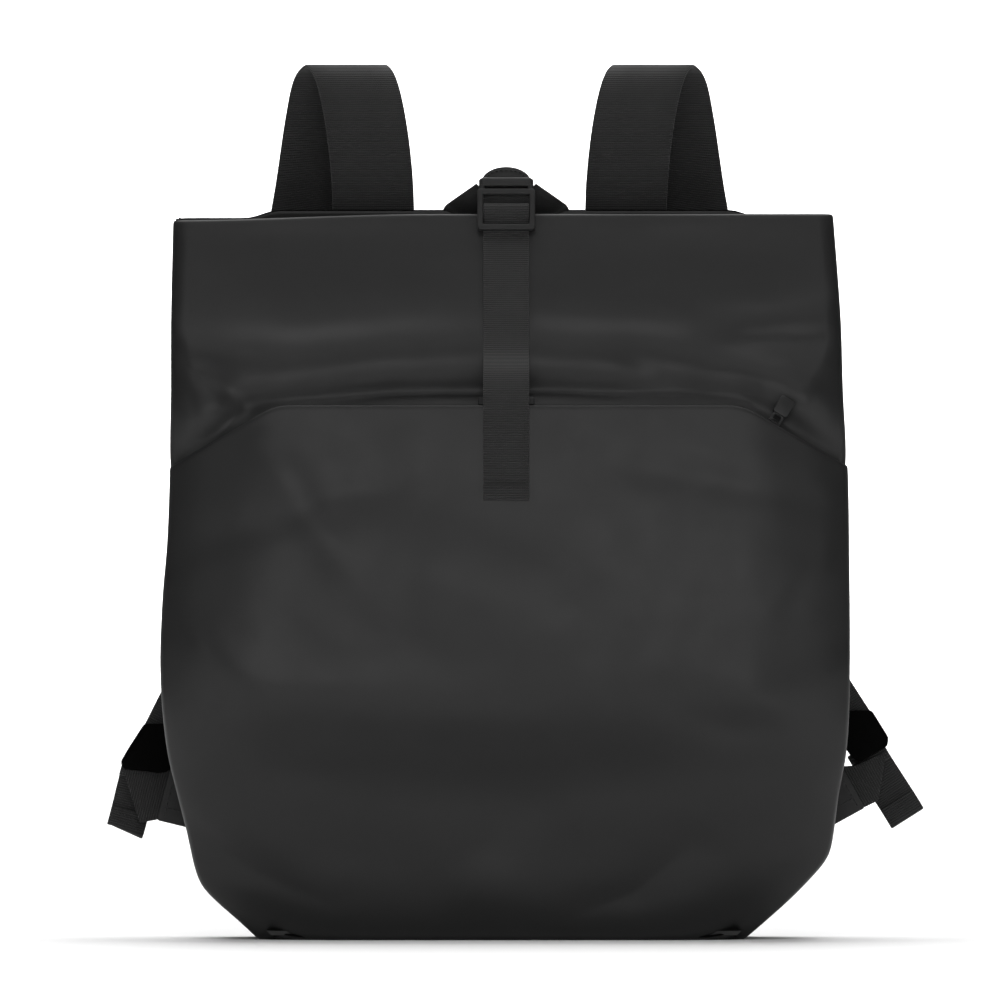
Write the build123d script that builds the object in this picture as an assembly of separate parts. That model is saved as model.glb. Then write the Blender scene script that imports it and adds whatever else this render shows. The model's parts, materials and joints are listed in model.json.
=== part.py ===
"""A slim leather day backpack with a hooked closure strap, a zipped front pocket and webbing straps.

Millimetres, +Z up, +X to the right and +Y to the back for someone who faces the bag's front. The bag stands on
z = 0, on the middle line of its base. The walls are sheets of leather, faceted here.
"""

import math
import os

from build123d import *

# --- Driving dimensions -------------------------------------------------------------------------
LEATHER = 2.0  # wall thickness
LINING = 0.6
FIT = 0.6  # clearance between the pocket panel and the body that it wraps
BACK_Y = 32.0  # outer face of the back panel
PAD_Y = 24.0  # inner face of the foam behind the back panel
BACK_TOP = 400.0  # top edge of the back panel
FRONT_TOP = 397.0  # top edge of the front panel
BASE = 2.5  # thickness of the bottom panel
BOARD = 2.5  # thickness of the stiffener on it
SLOPE_Z = 301.0  # above this the front leans back as a flat slope
SIDE_SEAM_Y = -16.0  # seam between the front panel and the gussets
POCKET_SEAM_Y = -20.0  # seam that ends the pocket panel on the bag's sides
SIDE = 400.0  # larger than any half of the bag

# Half of the front view's outline, as (x, z) from the base to the top.
HALF_OUTLINE = [(131, 0), (163, 30), (172, 45), (176, 60), (183.4, 100), (187, 136), (187, 172), (185.5, 258),
                (184.9, 324), (182.6, 397), (182.4, 404)]
# Side view of the outer faces, as (y, z) from the base to the top.
BODY_FRONT = [(-46, 0), (-56, 20), (-63, 70), (-65, 136), (-61, 200), (-46, 290), (6, 397)]
POCKET_FRONT = [(-50, 0), (-64, 20), (-76, 80), (-79, 136), (-75.5, 200), (-59, 292)]
# Plan view of the rounded front corners, as (x, y) along the cut.
BODY_CORNER = [(190, -28), (148, -68)]
POCKET_CORNER = [(190, -34), (149, -79.5)]
# Pocket opening: half of its top edge, and where its slanted ends meet the sides.
POCKET_TOP = 292.0
POCKET_TOP_HALF = 131.0
POCKET_SLANT_END = (187.0, 257.0)

WEBBING = 1.4  # thickness of the narrow webbing
CLOSURE_WIDTH = 25.0
SHOULDER_WIDTH = 45.0
SHOULDER_THICKNESS = 2.0
ADJUST_WIDTH = 21.0
HANDLE_WIDTH = 8.0
HANDLE_THICKNESS = 2.4

PARTS = {}


def put(name, *shapes):
    """Keeps the solids of one named sub-part."""
    solids = [s for shape in shapes for s in (shape if isinstance(shape, (list, ShapeList)) else [shape])]
    PARTS[name] = Compound(children=[solid for s in solids for solid in s.solids()])


# --- Plane geometry -----------------------------------------------------------------------------
def shifted(points, distance):
    """An open line moved sideways, to its left for a positive distance, with mitred corners."""
    moved = []
    for i, (a, b) in enumerate(points):
        sides = []
        for j in (i - 1, i):
            if 0 <= j < len(points) - 1:
                da, db = points[j + 1][0] - points[j][0], points[j + 1][1] - points[j][1]
                length = math.hypot(da, db)
                sides.append((-db / length, da / length))
        na, nb = sum(s[0] for s in sides), sum(s[1] for s in sides)
        scale = distance * len(sides) / (na * na + nb * nb)
        moved.append((a + na * scale, b + nb * scale))
    return moved


def extended(points, amount):
    """An open line with both end runs made longer."""
    def beyond(end, inner):
        length = math.dist(end, inner)
        return tuple(e + (e - i) / length * amount for e, i in zip(end, inner))
    return [beyond(points[0], points[1])] + points[1:-1] + [beyond(points[-1], points[-2])]


def prism_x(points, low=-SIDE, high=SIDE):
    """A (y, z) polygon, extruded along X."""
    face = make_face(Plane.YZ.offset(low) * Polyline(*points, close=True))
    return extrude(face, high - low, dir=(1, 0, 0))


def prism_y(points, low=-SIDE, high=SIDE):
    """An (x, z) polygon, extruded along Y."""
    face = make_face(Plane.XZ.offset(-high) * Polyline(*points, close=True))
    return extrude(face, high - low, dir=(0, -1, 0))


def prism_z(points, low=-SIDE, high=2 * SIDE):
    """An (x, y) polygon, extruded along Z."""
    face = make_face(Plane.XY.offset(low) * Polyline(*points, close=True))
    return extrude(face, high - low, dir=(0, 0, 1))


def block(x, y, z):
    """A box from three (low, high) pairs."""
    size = [high - low for low, high in (x, y, z)]
    middle = [(high + low) / 2 for low, high in (x, y, z)]
    return Pos(*middle) * Box(*size)


def ribbon(centres, across, width, thickness):
    """Webbing along centres. Across is the way its width runs, one vector or one for each centre."""
    points = [Vector(*c) for c in centres]
    ways = across if isinstance(across, list) else [across] * len(points)
    sections = []
    for i, point in enumerate(points):
        along = (points[min(i + 1, len(points) - 1)] - points[max(i - 1, 0)]).normalized()
        side = Vector(*ways[i])
        side = (side - along * side.dot(along)).normalized() * (width / 2)
        if 0 < i < len(points) - 1:
            before, after = (point - points[i - 1]).normalized(), (points[i + 1] - point).normalized()
            mitre = 1 / math.cos(math.radians(before.get_angle(after)) / 2)
        else:
            mitre = 1
        up = along.cross(side).normalized() * (thickness / 2 * mitre)
        corners = [point + side + up, point - side + up, point - side - up, point + side - up]
        sections.append(Wire.make_polygon(corners, close=True))
    return Solid.make_loft(sections, ruled=True)


# --- Envelopes that the walls are cut from ------------------------------------------------------
def outline(inset):
    half = extended(shifted(HALF_OUTLINE, inset), 30)
    return prism_y(half + [(-x, z) for x, z in reversed(half)])


def plan(corner, inset):
    """Everything behind the two cut front corners, moved in by inset."""
    right = extended(shifted(corner, -inset), 200)
    return prism_z([(SIDE, SIDE)] + right + [(-x, y) for x, y in reversed(right)] + [(-SIDE, SIDE)])


def behind(front, inset, back=BACK_Y):
    """Everything between a front profile, moved in by inset, and the back plane."""
    line = extended(shifted(front, -inset), 30)
    return prism_x(line + [(back, line[-1][1]), (back, line[0][1])])


def above(z):
    return block((-SIDE, SIDE), (-SIDE, SIDE), (z, 2 * SIDE))


def below(z):
    return block((-SIDE, SIDE), (-SIDE, SIDE), (-SIDE, z))


def ahead(y):
    return block((-SIDE, SIDE), (-SIDE, y), (-SIDE, 2 * SIDE))


def rear(y):
    return block((-SIDE, SIDE), (y, SIDE), (-SIDE, 2 * SIDE))


def right_of(x):
    return block((x, SIDE), (-SIDE, SIDE), (-SIDE, 2 * SIDE))


def body(inset, back=BACK_Y):
    """The body's solid, moved in all round by inset."""
    return outline(LEATHER + FIT + inset) & plan(BODY_CORNER, inset) & behind(BODY_FRONT, inset, back)


def pocket(inset):
    return outline(inset) & plan(POCKET_CORNER, inset) & behind(POCKET_FRONT, inset)


# --- Body ---------------------------------------------------------------------------------------
SLOPE_FOOT, SLOPE_TOP = Vector(0, *BODY_FRONT[-2]), Vector(0, *BODY_FRONT[-1])
SLOPE_UP = (SLOPE_TOP - SLOPE_FOOT).normalized()
SLOPE_OUT = Vector(0, -SLOPE_UP.Z, SLOPE_UP.Y)


def on_slope(up, out, x=0.0):
    """A point by its distance up the upper front's slope and out from its face."""
    point = SLOPE_FOOT + SLOPE_UP * up + SLOPE_OUT * out
    return (x, point.Y, point.Z)


def slope_prism(points, low, high):
    """A polygon of (up, out) pairs in the closure's own plane, extruded along X."""
    return prism_x([on_slope(up, out)[1:] for up, out in points], low, high)


def slope_box(x, up, out):
    return slope_prism([(up[0], out[0]), (up[1], out[0]), (up[1], out[1]), (up[0], out[1])], *x)


def make_body():
    outside, cavity = body(0), body(LEATHER)
    walls = outside - cavity
    slope_depth = 30
    slope_wall = slope_box((-SIDE, SIDE), (-slope_depth, 200), (-LEATHER, slope_depth))
    lower_front = walls & below(SLOPE_Z) & above(BASE) & ahead(SIDE_SEAM_Y)
    upper_front = outside & slope_wall & above(SLOPE_Z) & below(FRONT_TOP)
    put("front_panel", lower_front + upper_front)
    gusset_low = walls & below(SLOPE_Z) & above(BASE) & rear(SIDE_SEAM_Y)
    gusset_high = (walls & above(SLOPE_Z) & below(FRONT_TOP - 1.0)) - slope_wall
    gusset = (gusset_low + gusset_high) & ahead(BACK_Y - LEATHER)
    put("gusset_right", gusset & right_of(0))
    put("gusset_left", gusset - right_of(0))
    shoulder = [(-SIDE, 0), (-SIDE, 395), (-150, 395), (-122, BACK_TOP), (122, BACK_TOP), (150, 395), (SIDE, 395),
                (SIDE, 0)]
    put("back_panel", outside & rear(BACK_Y - LEATHER) & above(BASE) & prism_y(shoulder))
    put("base_panel", pocket(0) & below(BASE) & above(0))
    inner_base = BASE + BOARD
    put("base_board", cavity & above(BASE) & below(inner_base) & ahead(PAD_Y))
    put("back_foam", cavity & rear(PAD_Y) & ahead(BACK_Y - LEATHER) & above(BASE) & below(388))
    tube = body(LEATHER, PAD_Y) & above(inner_base)
    inside = body(LEATHER + LINING, PAD_Y - LINING) & above(inner_base + LINING)
    put("lining", (tube - inside) & below(SLOPE_Z - 3.0))
    facing_foot = 362.0
    put("mouth_facing_front", slope_box((-178, 178), (69, 116), (-LEATHER - 1.4, -LEATHER)) & above(facing_foot))
    put("mouth_facing_back", block((-170, 170), (BACK_Y - LEATHER - 1.4, BACK_Y - LEATHER), (388.2, 394.5)))
    put("lining_upper_front", slope_box((-175, 175), (14, 79), (-LEATHER - LINING, -LEATHER)))


def make_sleeve():
    """The padded laptop sleeve on the back wall, open at its top."""
    foot, top, half = BASE + BOARD + LINING, 268.0, 150.0
    front = (2.0, 6.0)
    room = body(LEATHER + LINING + 0.2, PAD_Y)
    put("laptop_sleeve", block((-half, half), front, (foot, top)) & room)
    side = (front[1], PAD_Y - LINING)
    for name, x in (("left", (-half, -half + 3)), ("right", (half - 3, half))):
        put(f"sleeve_gusset_{name}", block(x, side, (foot, top)) & room)
    put("sleeve_binding", block((-half, half), (front[0], front[1]), (top, top + 2.2)))


# --- Front pocket and its zip -------------------------------------------------------------------
def pocket_shape(inset):
    """Everything below the pocket's top edge, moved in by inset."""
    end_x, end_z = POCKET_SLANT_END
    slope = (POCKET_TOP - end_z) / (end_x - POCKET_TOP_HALF)
    beyond = 40.0
    half = [(end_x + beyond, end_z - slope * beyond), (POCKET_TOP_HALF, POCKET_TOP)]
    half = shifted([*half, (-POCKET_TOP_HALF, POCKET_TOP)], inset)[:2]
    left = [(-x, z) for x, z in reversed(half)]
    return prism_y([(SIDE, -SIDE), (SIDE, half[0][1]), *half, *left, (-SIDE, half[0][1]), (-SIDE, -SIDE)])


def make_pocket():
    wall = (pocket(0) - pocket(LEATHER)) & above(BASE) & ahead(POCKET_SEAM_Y)
    put("pocket_panel", wall & pocket_shape(0))
    facing = (pocket(LEATHER) - pocket(LEATHER + LINING)) & above(BASE) & ahead(-58)
    put("pocket_lining", facing & pocket_shape(13))


SLANT = Vector(POCKET_SLANT_END[0] - POCKET_TOP_HALF, 0, POCKET_SLANT_END[1] - POCKET_TOP).normalized()
SLANT_UP = Vector(-SLANT.Z, 0, SLANT.X)
TAPE, COIL = 0.6, 1.4
COIL_IN = (4.0, 6.0)  # how far inside the pocket's edge the coil lies
ZIP_HALF = 168.0  # the zip ends here, short of the rounded corners


def zip_layer(outer, inner):
    return (outer - inner) & block((-ZIP_HALF, ZIP_HALF), (-SIDE, -38), (200, 300))


def make_pocket_zip():
    low_band = pocket_shape(1.0) - pocket_shape(12.0)
    coil_band = pocket_shape(COIL_IN[0]) - pocket_shape(COIL_IN[1])
    put("pocket_zip_tape_outer", zip_layer(pocket(LEATHER), pocket(LEATHER + TAPE)) & low_band)
    put("pocket_zip_coil_outer", zip_layer(pocket(LEATHER + TAPE), pocket(LEATHER + TAPE + COIL)) & coil_band)
    put("pocket_zip_tape_inner", zip_layer(body(-TAPE), body(0)) & low_band)
    put("pocket_zip_coil_inner", zip_layer(body(-TAPE - COIL), body(-TAPE)) & coil_band)


SLIDER_X = 147.0
SLIDER_Y = -53.6  # middle of the gap between the two coils
PULLER_WIDTH, PULLER_LENGTH, PULLER_THICKNESS = 8.4, 15.4, 2.0


def edge_point(x, inset):
    """A point on the pocket's right slanted edge, moved in by inset, halfway between the coils."""
    z = POCKET_TOP + (x - POCKET_TOP_HALF) * SLANT.Z / SLANT.X
    return Vector(x, SLIDER_Y, z) - SLANT_UP * inset


def slanted(centre, size):
    """A box with its sides along the slanted edge, along Y and square to both."""
    plane = Plane(origin=centre, x_dir=SLANT, z_dir=SLANT_UP)
    return plane * Box(*size)


def make_slider():
    keel = slanted(edge_point(SLIDER_X, 4.4), (8, 5.6, 4.6))
    plate = slanted(edge_point(SLIDER_X, 1.5), (9, 6.6, 1.4))
    bridge = slanted(edge_point(SLIDER_X, -0.9), (2.4, 2.6, 3.6))
    pin_hole = Plane(origin=edge_point(SLIDER_X, -1.2), z_dir=SLANT) * Cylinder(0.75, 10)
    put("pocket_zip_slider", (keel + plate + bridge) - pin_hole)
    pivot = edge_point(SLIDER_X, -1.2)
    lean = (SLANT_UP * 0.96 + Vector(0, 0.28, 0)).normalized()
    yoke_plane = Plane(origin=pivot, x_dir=SLANT, z_dir=lean)
    pin = Plane(origin=pivot, z_dir=SLANT) * Cylinder(0.6, 7.0)
    cheeks = [yoke_plane * Pos(side * 2.7, 0, 2.0) * Box(1.6, 1.8, 5.4) for side in (-1, 1)]
    root = yoke_plane * Pos(0, 0, 4.6) * Box(7.0, 1.8, 2.0)
    put("puller_bail", pin + cheeks[0] + cheeks[1] + root)
    tab = yoke_plane * Pos(0, 0, 5.7 + (PULLER_LENGTH - 5.7) / 2)
    put("puller_tab", tab * Box(PULLER_WIDTH, PULLER_THICKNESS, PULLER_LENGTH - 5.7))


# --- Closure strap, hook buckle and its free tail -----------------------------------------------
FRAME_UP, FRAME_OUT, FRAME_HALF = (106.0, 132.0), (4.2, 7.0), 16.0
CROSSBAR_UP, CROSSBAR_OUT = (118.3, 120.7), (3.0, 5.3)
HOOK_BAR_UP = (136.4, 139.2)
TONGUE_UP, TONGUE_TIP = (136.9, 138.6), -1.6
SLIT_UP, SLIT_HALF = (134.5, 139.0), 12.2  # the slit that the hook goes through
SLEEVE_THICKNESS = 3.0
TAIL_PIVOT = (103.9, 3.2)
TAIL_POINTS = [(-61.2, 294.0), (-69.8, 241.4)]  # (y, z) where the tail goes over the pocket's edge, and its end


def make_closure():
    path = [(8.2, 1.4), (114, 1.4), (121.2, 1.6), (122.4, 4.15), (121.2, 6.7), (117, 6.5), (110.5, 3.4), (105.2, 3.2)]
    half = CLOSURE_WIDTH / 2
    put("closure_strap", ribbon([on_slope(*p) for p in path], (1, 0, 0), CLOSURE_WIDTH, WEBBING))
    frame = slope_box((-FRAME_HALF, FRAME_HALF), FRAME_UP, FRAME_OUT)
    frame -= slope_box((-13.1, 13.1), (109.2, 128.3), (0, 10))
    bar = slope_box((-FRAME_HALF + 1, FRAME_HALF - 1), CROSSBAR_UP, CROSSBAR_OUT)
    ears = [slope_box(x, (FRAME_UP[1] - 1, HOOK_BAR_UP[1]), (4.2, 6.4)) for x in ((-14.2, -11.4), (11.4, 14.2))]
    hook_bar = slope_box((-14.2, 14.2), HOOK_BAR_UP, (4.2, 6.4))
    tongue = slope_box((-11.0, 11.0), TONGUE_UP, (TONGUE_TIP, 4.4))
    lip = slope_box((-11.0, 11.0), (135.2, TONGUE_UP[1]), (TONGUE_TIP, TONGUE_TIP + 1.4))
    put("hook_buckle", frame + bar + ears[0] + ears[1] + hook_bar + tongue + lip)
    top = on_slope(TAIL_PIVOT[0] + 0.2, TAIL_PIVOT[1])
    hem = 7.0
    foot = Vector(0, TAIL_POINTS[0][0] - TAIL_POINTS[1][0], TAIL_POINTS[0][1] - TAIL_POINTS[1][1]).normalized()
    end = Vector(0, *TAIL_POINTS[1])
    centres = [top, (0, *TAIL_POINTS[0]), tuple(end + foot * hem)]
    put("closure_tail", ribbon(centres, (1, 0, 0), CLOSURE_WIDTH, WEBBING))
    hem_shift = Vector(0, -foot.Z, foot.Y) * 0.55
    hem_ends = [tuple(end + foot * hem + hem_shift), tuple(end + hem_shift)]
    put("closure_tail_hem", ribbon(hem_ends, (1, 0, 0), CLOSURE_WIDTH, 2 * WEBBING))
    put("closure_anchor", slope_box((-half - 3, half + 3), (1.5, 5.6), (0.02, 2.2)))


# --- Carrying handle ----------------------------------------------------------------------------
def make_handle():
    foot, dome_foot, dome_half, dome_rise = 123.8, 139.8, 10.6, 6.6
    half_rim = [(12.4, foot), (12.4, 131), (16, 131), (16, 136.5), (14, 139.4), (dome_half, dome_foot)]
    turns = [math.pi * k / 8 for k in range(1, 8)]
    dome = [(dome_half * math.cos(a), dome_foot + dome_rise * math.sin(a)) for a in turns]
    rim = half_rim + dome + [(-x, up) for x, up in reversed(half_rim)]
    plane = Plane(origin=on_slope(0, 0.6), x_dir=(1, 0, 0), z_dir=tuple(SLOPE_OUT))
    sleeve = extrude(make_face(plane * Polyline(*rim, close=True)), SLEEVE_THICKNESS, dir=tuple(SLOPE_OUT))
    sleeve -= slope_box((-SLIT_HALF, SLIT_HALF), SLIT_UP, (-5, 10))
    put("handle_sleeve", sleeve)
    arms = []
    for side in (-1, 1):
        start = on_slope(133.6, 2.1, side * 16.1)
        centres = [start, (side * 23.0, 24.0, 406.0), (side * 27.0, 33.6, 404.2), (side * 28.2, 33.6, 393.0),
                   (side * 29.0, 33.6, 376.0)]
        ways = [(0, 0.3, 1), (side * 0.7, 0.3, 0.6), (side, 0, 0.2), (side, 0, 0.1), (side, 0, 0)]
        arms.append(ribbon(centres, ways, HANDLE_WIDTH, HANDLE_THICKNESS) - sleeve)
    put("grab_handle", *arms)


# --- Shoulder straps ----------------------------------------------------------------------------
SHOULDER_PATH = [(70, 33.2, 372), (70, 33.2, 400), (71.5, 34.5, 422), (75.5, 38, 450), (79.5, 45, 469),
                 (84, 56, 477.4), (88, 67, 470), (92, 74.5, 450), (98, 77, 415), (108, 72, 370), (122, 60, 310),
                 (138, 50, 250), (151, 44, 203), (158, 42, 174)]


def make_shoulders():
    for name, side in (("left", -1), ("right", 1)):
        centres = [(side * x, y, z) for x, y, z in SHOULDER_PATH]
        put(f"shoulder_strap_{name}", ribbon(centres, (1, 0, 0), SHOULDER_WIDTH, SHOULDER_THICKNESS))
    put("yoke", block((-128, 128), (35.0, 36.6), (366, 398)))


# --- Side tabs, adjusters and their tails -------------------------------------------------------
# Each side by where its webbing folds over the crossbar (x outward, z) and how far that bar tilts up outwards.
ADJUSTERS = {"left": (-1, (199.6, 94.0), 16.0, 36.0), "right": (1, (200.0, 100.5), 30.0, 40.0)}
# Each side's flat first run of webbing, from the tab to its diagonal fold, as (x outward, z).
FIRST_RUNS = {"left": [(181.5, 92.5), (189.0, 65.5), (198.4, 62.7), (207.6, 90.5), (186.5, 90.0)],
              "right": [(183.0, 93.5), (196.8, 71.4), (204.1, 74.9), (208.5, 99.0), (193.7, 94.5)]}
TABS = {"left": [(165.0, 97.0), (181.6, 95.0), (190.5, 64.0), (165.0, 57.5)],
        "right": [(165.0, 99.0), (184.4, 95.5), (198.4, 71.0), (165.0, 51.0)]}
LOCK_Y = (30.4, 32.8)
RUN_Y = (26.6, 28.0)
TAIL_Y = 34.6
TAIL_FROM = 6.4  # how far below the crossbar the tail starts


def adjuster_frame(side, fold, tilt):
    """point(along bar, down, y) of one adjuster and its bar's direction."""
    angle = math.radians(tilt)
    bar = Vector(side * math.cos(angle), 0, math.sin(angle))
    down = Vector(side * math.sin(angle), 0, -math.cos(angle))
    middle = Vector(side * fold[0], 0, fold[1])

    def point(along, lower, y):
        return tuple(middle + bar * along + down * lower + Vector(0, y, 0))

    return point, bar


def make_adjuster(name):
    side, fold, tilt, tail_length = ADJUSTERS[name]
    point, bar = adjuster_frame(side, fold, tilt)
    way = tuple(bar)

    def plate(along, lower, y):
        plane = Plane(origin=point(sum(along) / 2, sum(lower) / 2, sum(y) / 2), x_dir=bar, z_dir=(0, 1, 0))
        return plane * Box(along[1] - along[0], lower[1] - lower[0], y[1] - y[0])

    def strip(points, thickness=WEBBING):
        return ribbon(points, way, ADJUST_WIDTH, thickness)

    frame = plate((-14.2, 14.2), (-12, 6), LOCK_Y) - plate((-11, 11), (-9.4, -1.4), (0, 60))
    put(f"ladder_lock_{name}", frame - plate((-11, 11), (1.0, 3.6), (0, 60)))
    run = prism_y([(side * x, z) for x, z in FIRST_RUNS[name]], *RUN_Y)
    wrap = [point(0, 9, 28.2), point(0, 4, 29.2), point(0, -1.0, 29.2), point(0, -3.2, 30.6), point(0, -3.2, 33.0),
            point(0, -0.8, 34.6), point(0, TAIL_FROM - 0.5, TAIL_Y)]
    put(f"adjuster_webbing_{name}", run + strip(wrap))
    tab = prism_y([(side * x, z) for x, z in TABS[name]], RUN_Y[0] - 1.6, RUN_Y[1] + 0.8)
    put(f"side_tab_{name}", tab - body(0) - run)
    link = [point(0, -7.4, 34.2), point(0, -10.6, 34.2), point(0, -14.0, 34.6), (side * 176.0, 38.0, 142.0),
            (side * 160.0, 45.1, 176.0), (side * 157.0, 47.0, 186.0)]
    put(f"strap_link_{name}", strip(link))
    hem_top = point(0, tail_length - 10, TAIL_Y)
    put(f"adjuster_tail_{name}", strip([point(0, TAIL_FROM + 0.5, TAIL_Y), hem_top]))
    hem = [point(0, tail_length - down, TAIL_Y + 0.5) for down in (10, 0)]
    put(f"adjuster_tail_hem_{name}", strip(hem, 2 * WEBBING))


def make_adjusters():
    for name in ADJUSTERS:
        make_adjuster(name)


for make in (make_body, make_sleeve, make_pocket, make_pocket_zip, make_slider, make_closure, make_handle,
             make_shoulders, make_adjusters):
    make()

os.makedirs("parts", exist_ok=True)
for node, shape in PARTS.items():
    export_step(shape, f"parts/{node}.step")
print(len(PARTS), "nodes")
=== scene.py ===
"""A slim black leather backpack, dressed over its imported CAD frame.

Shapes are worked out in millimetres in the row frame (+X right and +Y back for someone who faces the bag's
front, +Z up) and turned to metres as each mesh is made.
"""

import json
import math

import bmesh
import bpy
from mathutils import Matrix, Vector, noise


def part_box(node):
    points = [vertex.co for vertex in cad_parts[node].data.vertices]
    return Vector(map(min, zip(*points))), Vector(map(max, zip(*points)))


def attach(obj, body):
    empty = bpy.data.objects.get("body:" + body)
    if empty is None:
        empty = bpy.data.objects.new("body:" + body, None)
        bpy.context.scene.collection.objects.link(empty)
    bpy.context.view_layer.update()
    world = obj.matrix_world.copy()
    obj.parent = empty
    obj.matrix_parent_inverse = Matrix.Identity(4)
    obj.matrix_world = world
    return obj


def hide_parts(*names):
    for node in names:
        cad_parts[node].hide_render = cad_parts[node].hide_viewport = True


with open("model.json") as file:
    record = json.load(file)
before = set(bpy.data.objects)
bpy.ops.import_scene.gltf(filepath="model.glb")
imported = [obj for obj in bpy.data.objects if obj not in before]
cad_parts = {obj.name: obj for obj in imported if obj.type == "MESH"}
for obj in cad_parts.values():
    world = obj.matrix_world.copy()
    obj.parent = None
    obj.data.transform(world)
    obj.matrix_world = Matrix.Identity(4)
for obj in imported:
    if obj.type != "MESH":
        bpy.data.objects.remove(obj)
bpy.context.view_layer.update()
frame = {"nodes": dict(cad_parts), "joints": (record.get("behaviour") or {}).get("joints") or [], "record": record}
MM = 0.001
SIDES = (("left", -1), ("right", 1))

LEATHER = 2.0
WEBBING = 1.5
LINING = 0.5
BACK_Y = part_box("back_panel")[1].y / MM
LINING_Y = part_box("lining")[1].y / MM - 0.4
FRONT_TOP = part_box("front_panel")[1].z / MM
BACK_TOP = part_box("back_panel")[1].z / MM
BASE_TOP = 2.0
POCKET_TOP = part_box("pocket_panel")[1].z / MM


# --- Small mathematics --------------------------------------------------------------------------
def mix(a, b, t):
    return a + (b - a) * t


def smooth(t, low=0.0, high=1.0):
    """0 below low, 1 above high and an even S between them."""
    t = min(max((t - low) / (high - low), 0.0), 1.0)
    return t * t * (3 - 2 * t)


def through(stops, at):
    """The value at a place on a soft curve through (place, value) stops."""
    if at <= stops[0][0]:
        return stops[0][1]
    if at >= stops[-1][0]:
        return stops[-1][1]
    i = next(k for k in range(len(stops) - 1) if stops[k + 1][0] >= at)

    def rise(k):
        low, high = max(k - 1, 0), min(k + 1, len(stops) - 1)
        return (stops[high][1] - stops[low][1]) / (stops[high][0] - stops[low][0])

    (x0, y0), (x1, y1) = stops[i], stops[i + 1]
    width = x1 - x0
    t = (at - x0) / width
    hermite = (2 * t**3 - 3 * t**2 + 1) * y0 + (3 * t**2 - 2 * t**3) * y1
    return hermite + width * ((t**3 - 2 * t**2 + t) * rise(i) + (t**3 - t**2) * rise(i + 1))


class Curve:
    """A soft curve through points, measured along their first three values."""

    def __init__(self, points):
        self.places = [0.0]
        for a, b in zip(points, points[1:]):
            self.places.append(self.places[-1] + (Vector(b[:3]) - Vector(a[:3])).length)
        self.axes = [[(s, p[k]) for s, p in zip(self.places, points)] for k in range(len(points[0]))]
        self.length = self.places[-1]

    def at(self, place):
        return [through(axis, place) for axis in self.axes]

    def spaced(self, spacing):
        """Points about spacing apart from one end to the other."""
        count = max(2, round(self.length / spacing))
        return [self.at(self.length * i / count) for i in range(count + 1)]


def spline(points, spacing):
    return [Vector(p) for p in Curve([Vector(p) for p in points]).spaced(spacing)]


# --- Meshes -------------------------------------------------------------------------------------
def make_piece(name, vertices, faces, body, slot, nodes=(), uvs=None):
    """A mesh in the row frame that rides on a body, takes a slot's material and may replace CAD nodes."""
    mesh = bpy.data.meshes.new(name)
    mesh.from_pydata([Vector(v) * MM for v in vertices], [], faces)
    mesh.validate()
    for polygon in mesh.polygons:
        polygon.use_smooth = True
    if uvs:
        layer = mesh.uv_layers.new(name="run")
        for loop in mesh.loops:
            layer.data[loop.index].uv = uvs[loop.vertex_index]
    piece = bpy.data.objects.new(name, mesh)
    bpy.context.scene.collection.objects.link(piece)
    mesh.materials.append(MATERIALS[slot])
    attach(piece, body)
    if nodes:
        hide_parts(*nodes)
    return piece


def soften(piece, levels=1):
    modifier = piece.modifiers.new("soft", "SUBSURF")
    modifier.levels = modifier.render_levels = levels
    return piece


def thicken(piece, thickness, offset=-1.0):
    modifier = piece.modifiers.new("thick", "SOLIDIFY")
    modifier.thickness = thickness * MM
    modifier.offset = offset
    return piece


def round_edges(piece, width=0.5, segments=3):
    modifier = piece.modifiers.new("round", "BEVEL")
    modifier.width = width * MM
    modifier.segments = segments
    modifier.limit_method = "ANGLE"
    modifier.angle_limit = math.radians(35)
    return piece


def sheet_of(name, point, columns, rows, body, slot, nodes=(), thickness=LEATHER, levels=1, flip=False):
    """A sheet of leather or cloth: point(u, v) for u and v from 0 to 1."""
    vertices = [point(i / columns, j / rows) for j in range(rows + 1) for i in range(columns + 1)]
    faces = []
    for j in range(rows):
        for i in range(columns):
            a = j * (columns + 1) + i
            face = (a, a + 1, a + columns + 2, a + columns + 1)
            faces.append(face[::-1] if flip else face)
    piece = make_piece(name, vertices, faces, body, slot, nodes)
    thick = thicken(piece, thickness).modifiers["thick"]
    # Cut edges take the darker, dull edge material: edge paint, and painted shade along the edges in place of
    # their highlights.
    if slot == "leather":
        piece.data.materials.append(EDGE_PAINT_AND_SHADE)
        thick.material_offset_rim = 1
    return soften(piece, levels) if levels else piece


def loft(rings):
    """Vertices and faces of a closed tube through rings of equally many points."""
    count = len(rings[0])
    vertices = [p for ring in rings for p in ring]
    faces = []
    for j in range(len(rings) - 1):
        for i in range(count):
            a, b = j * count + i, j * count + (i + 1) % count
            faces.append((a, b, b + count, a + count))
    last = (len(rings) - 1) * count
    return vertices, faces + [tuple(reversed(range(count))), tuple(range(last, last + count))]


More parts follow.
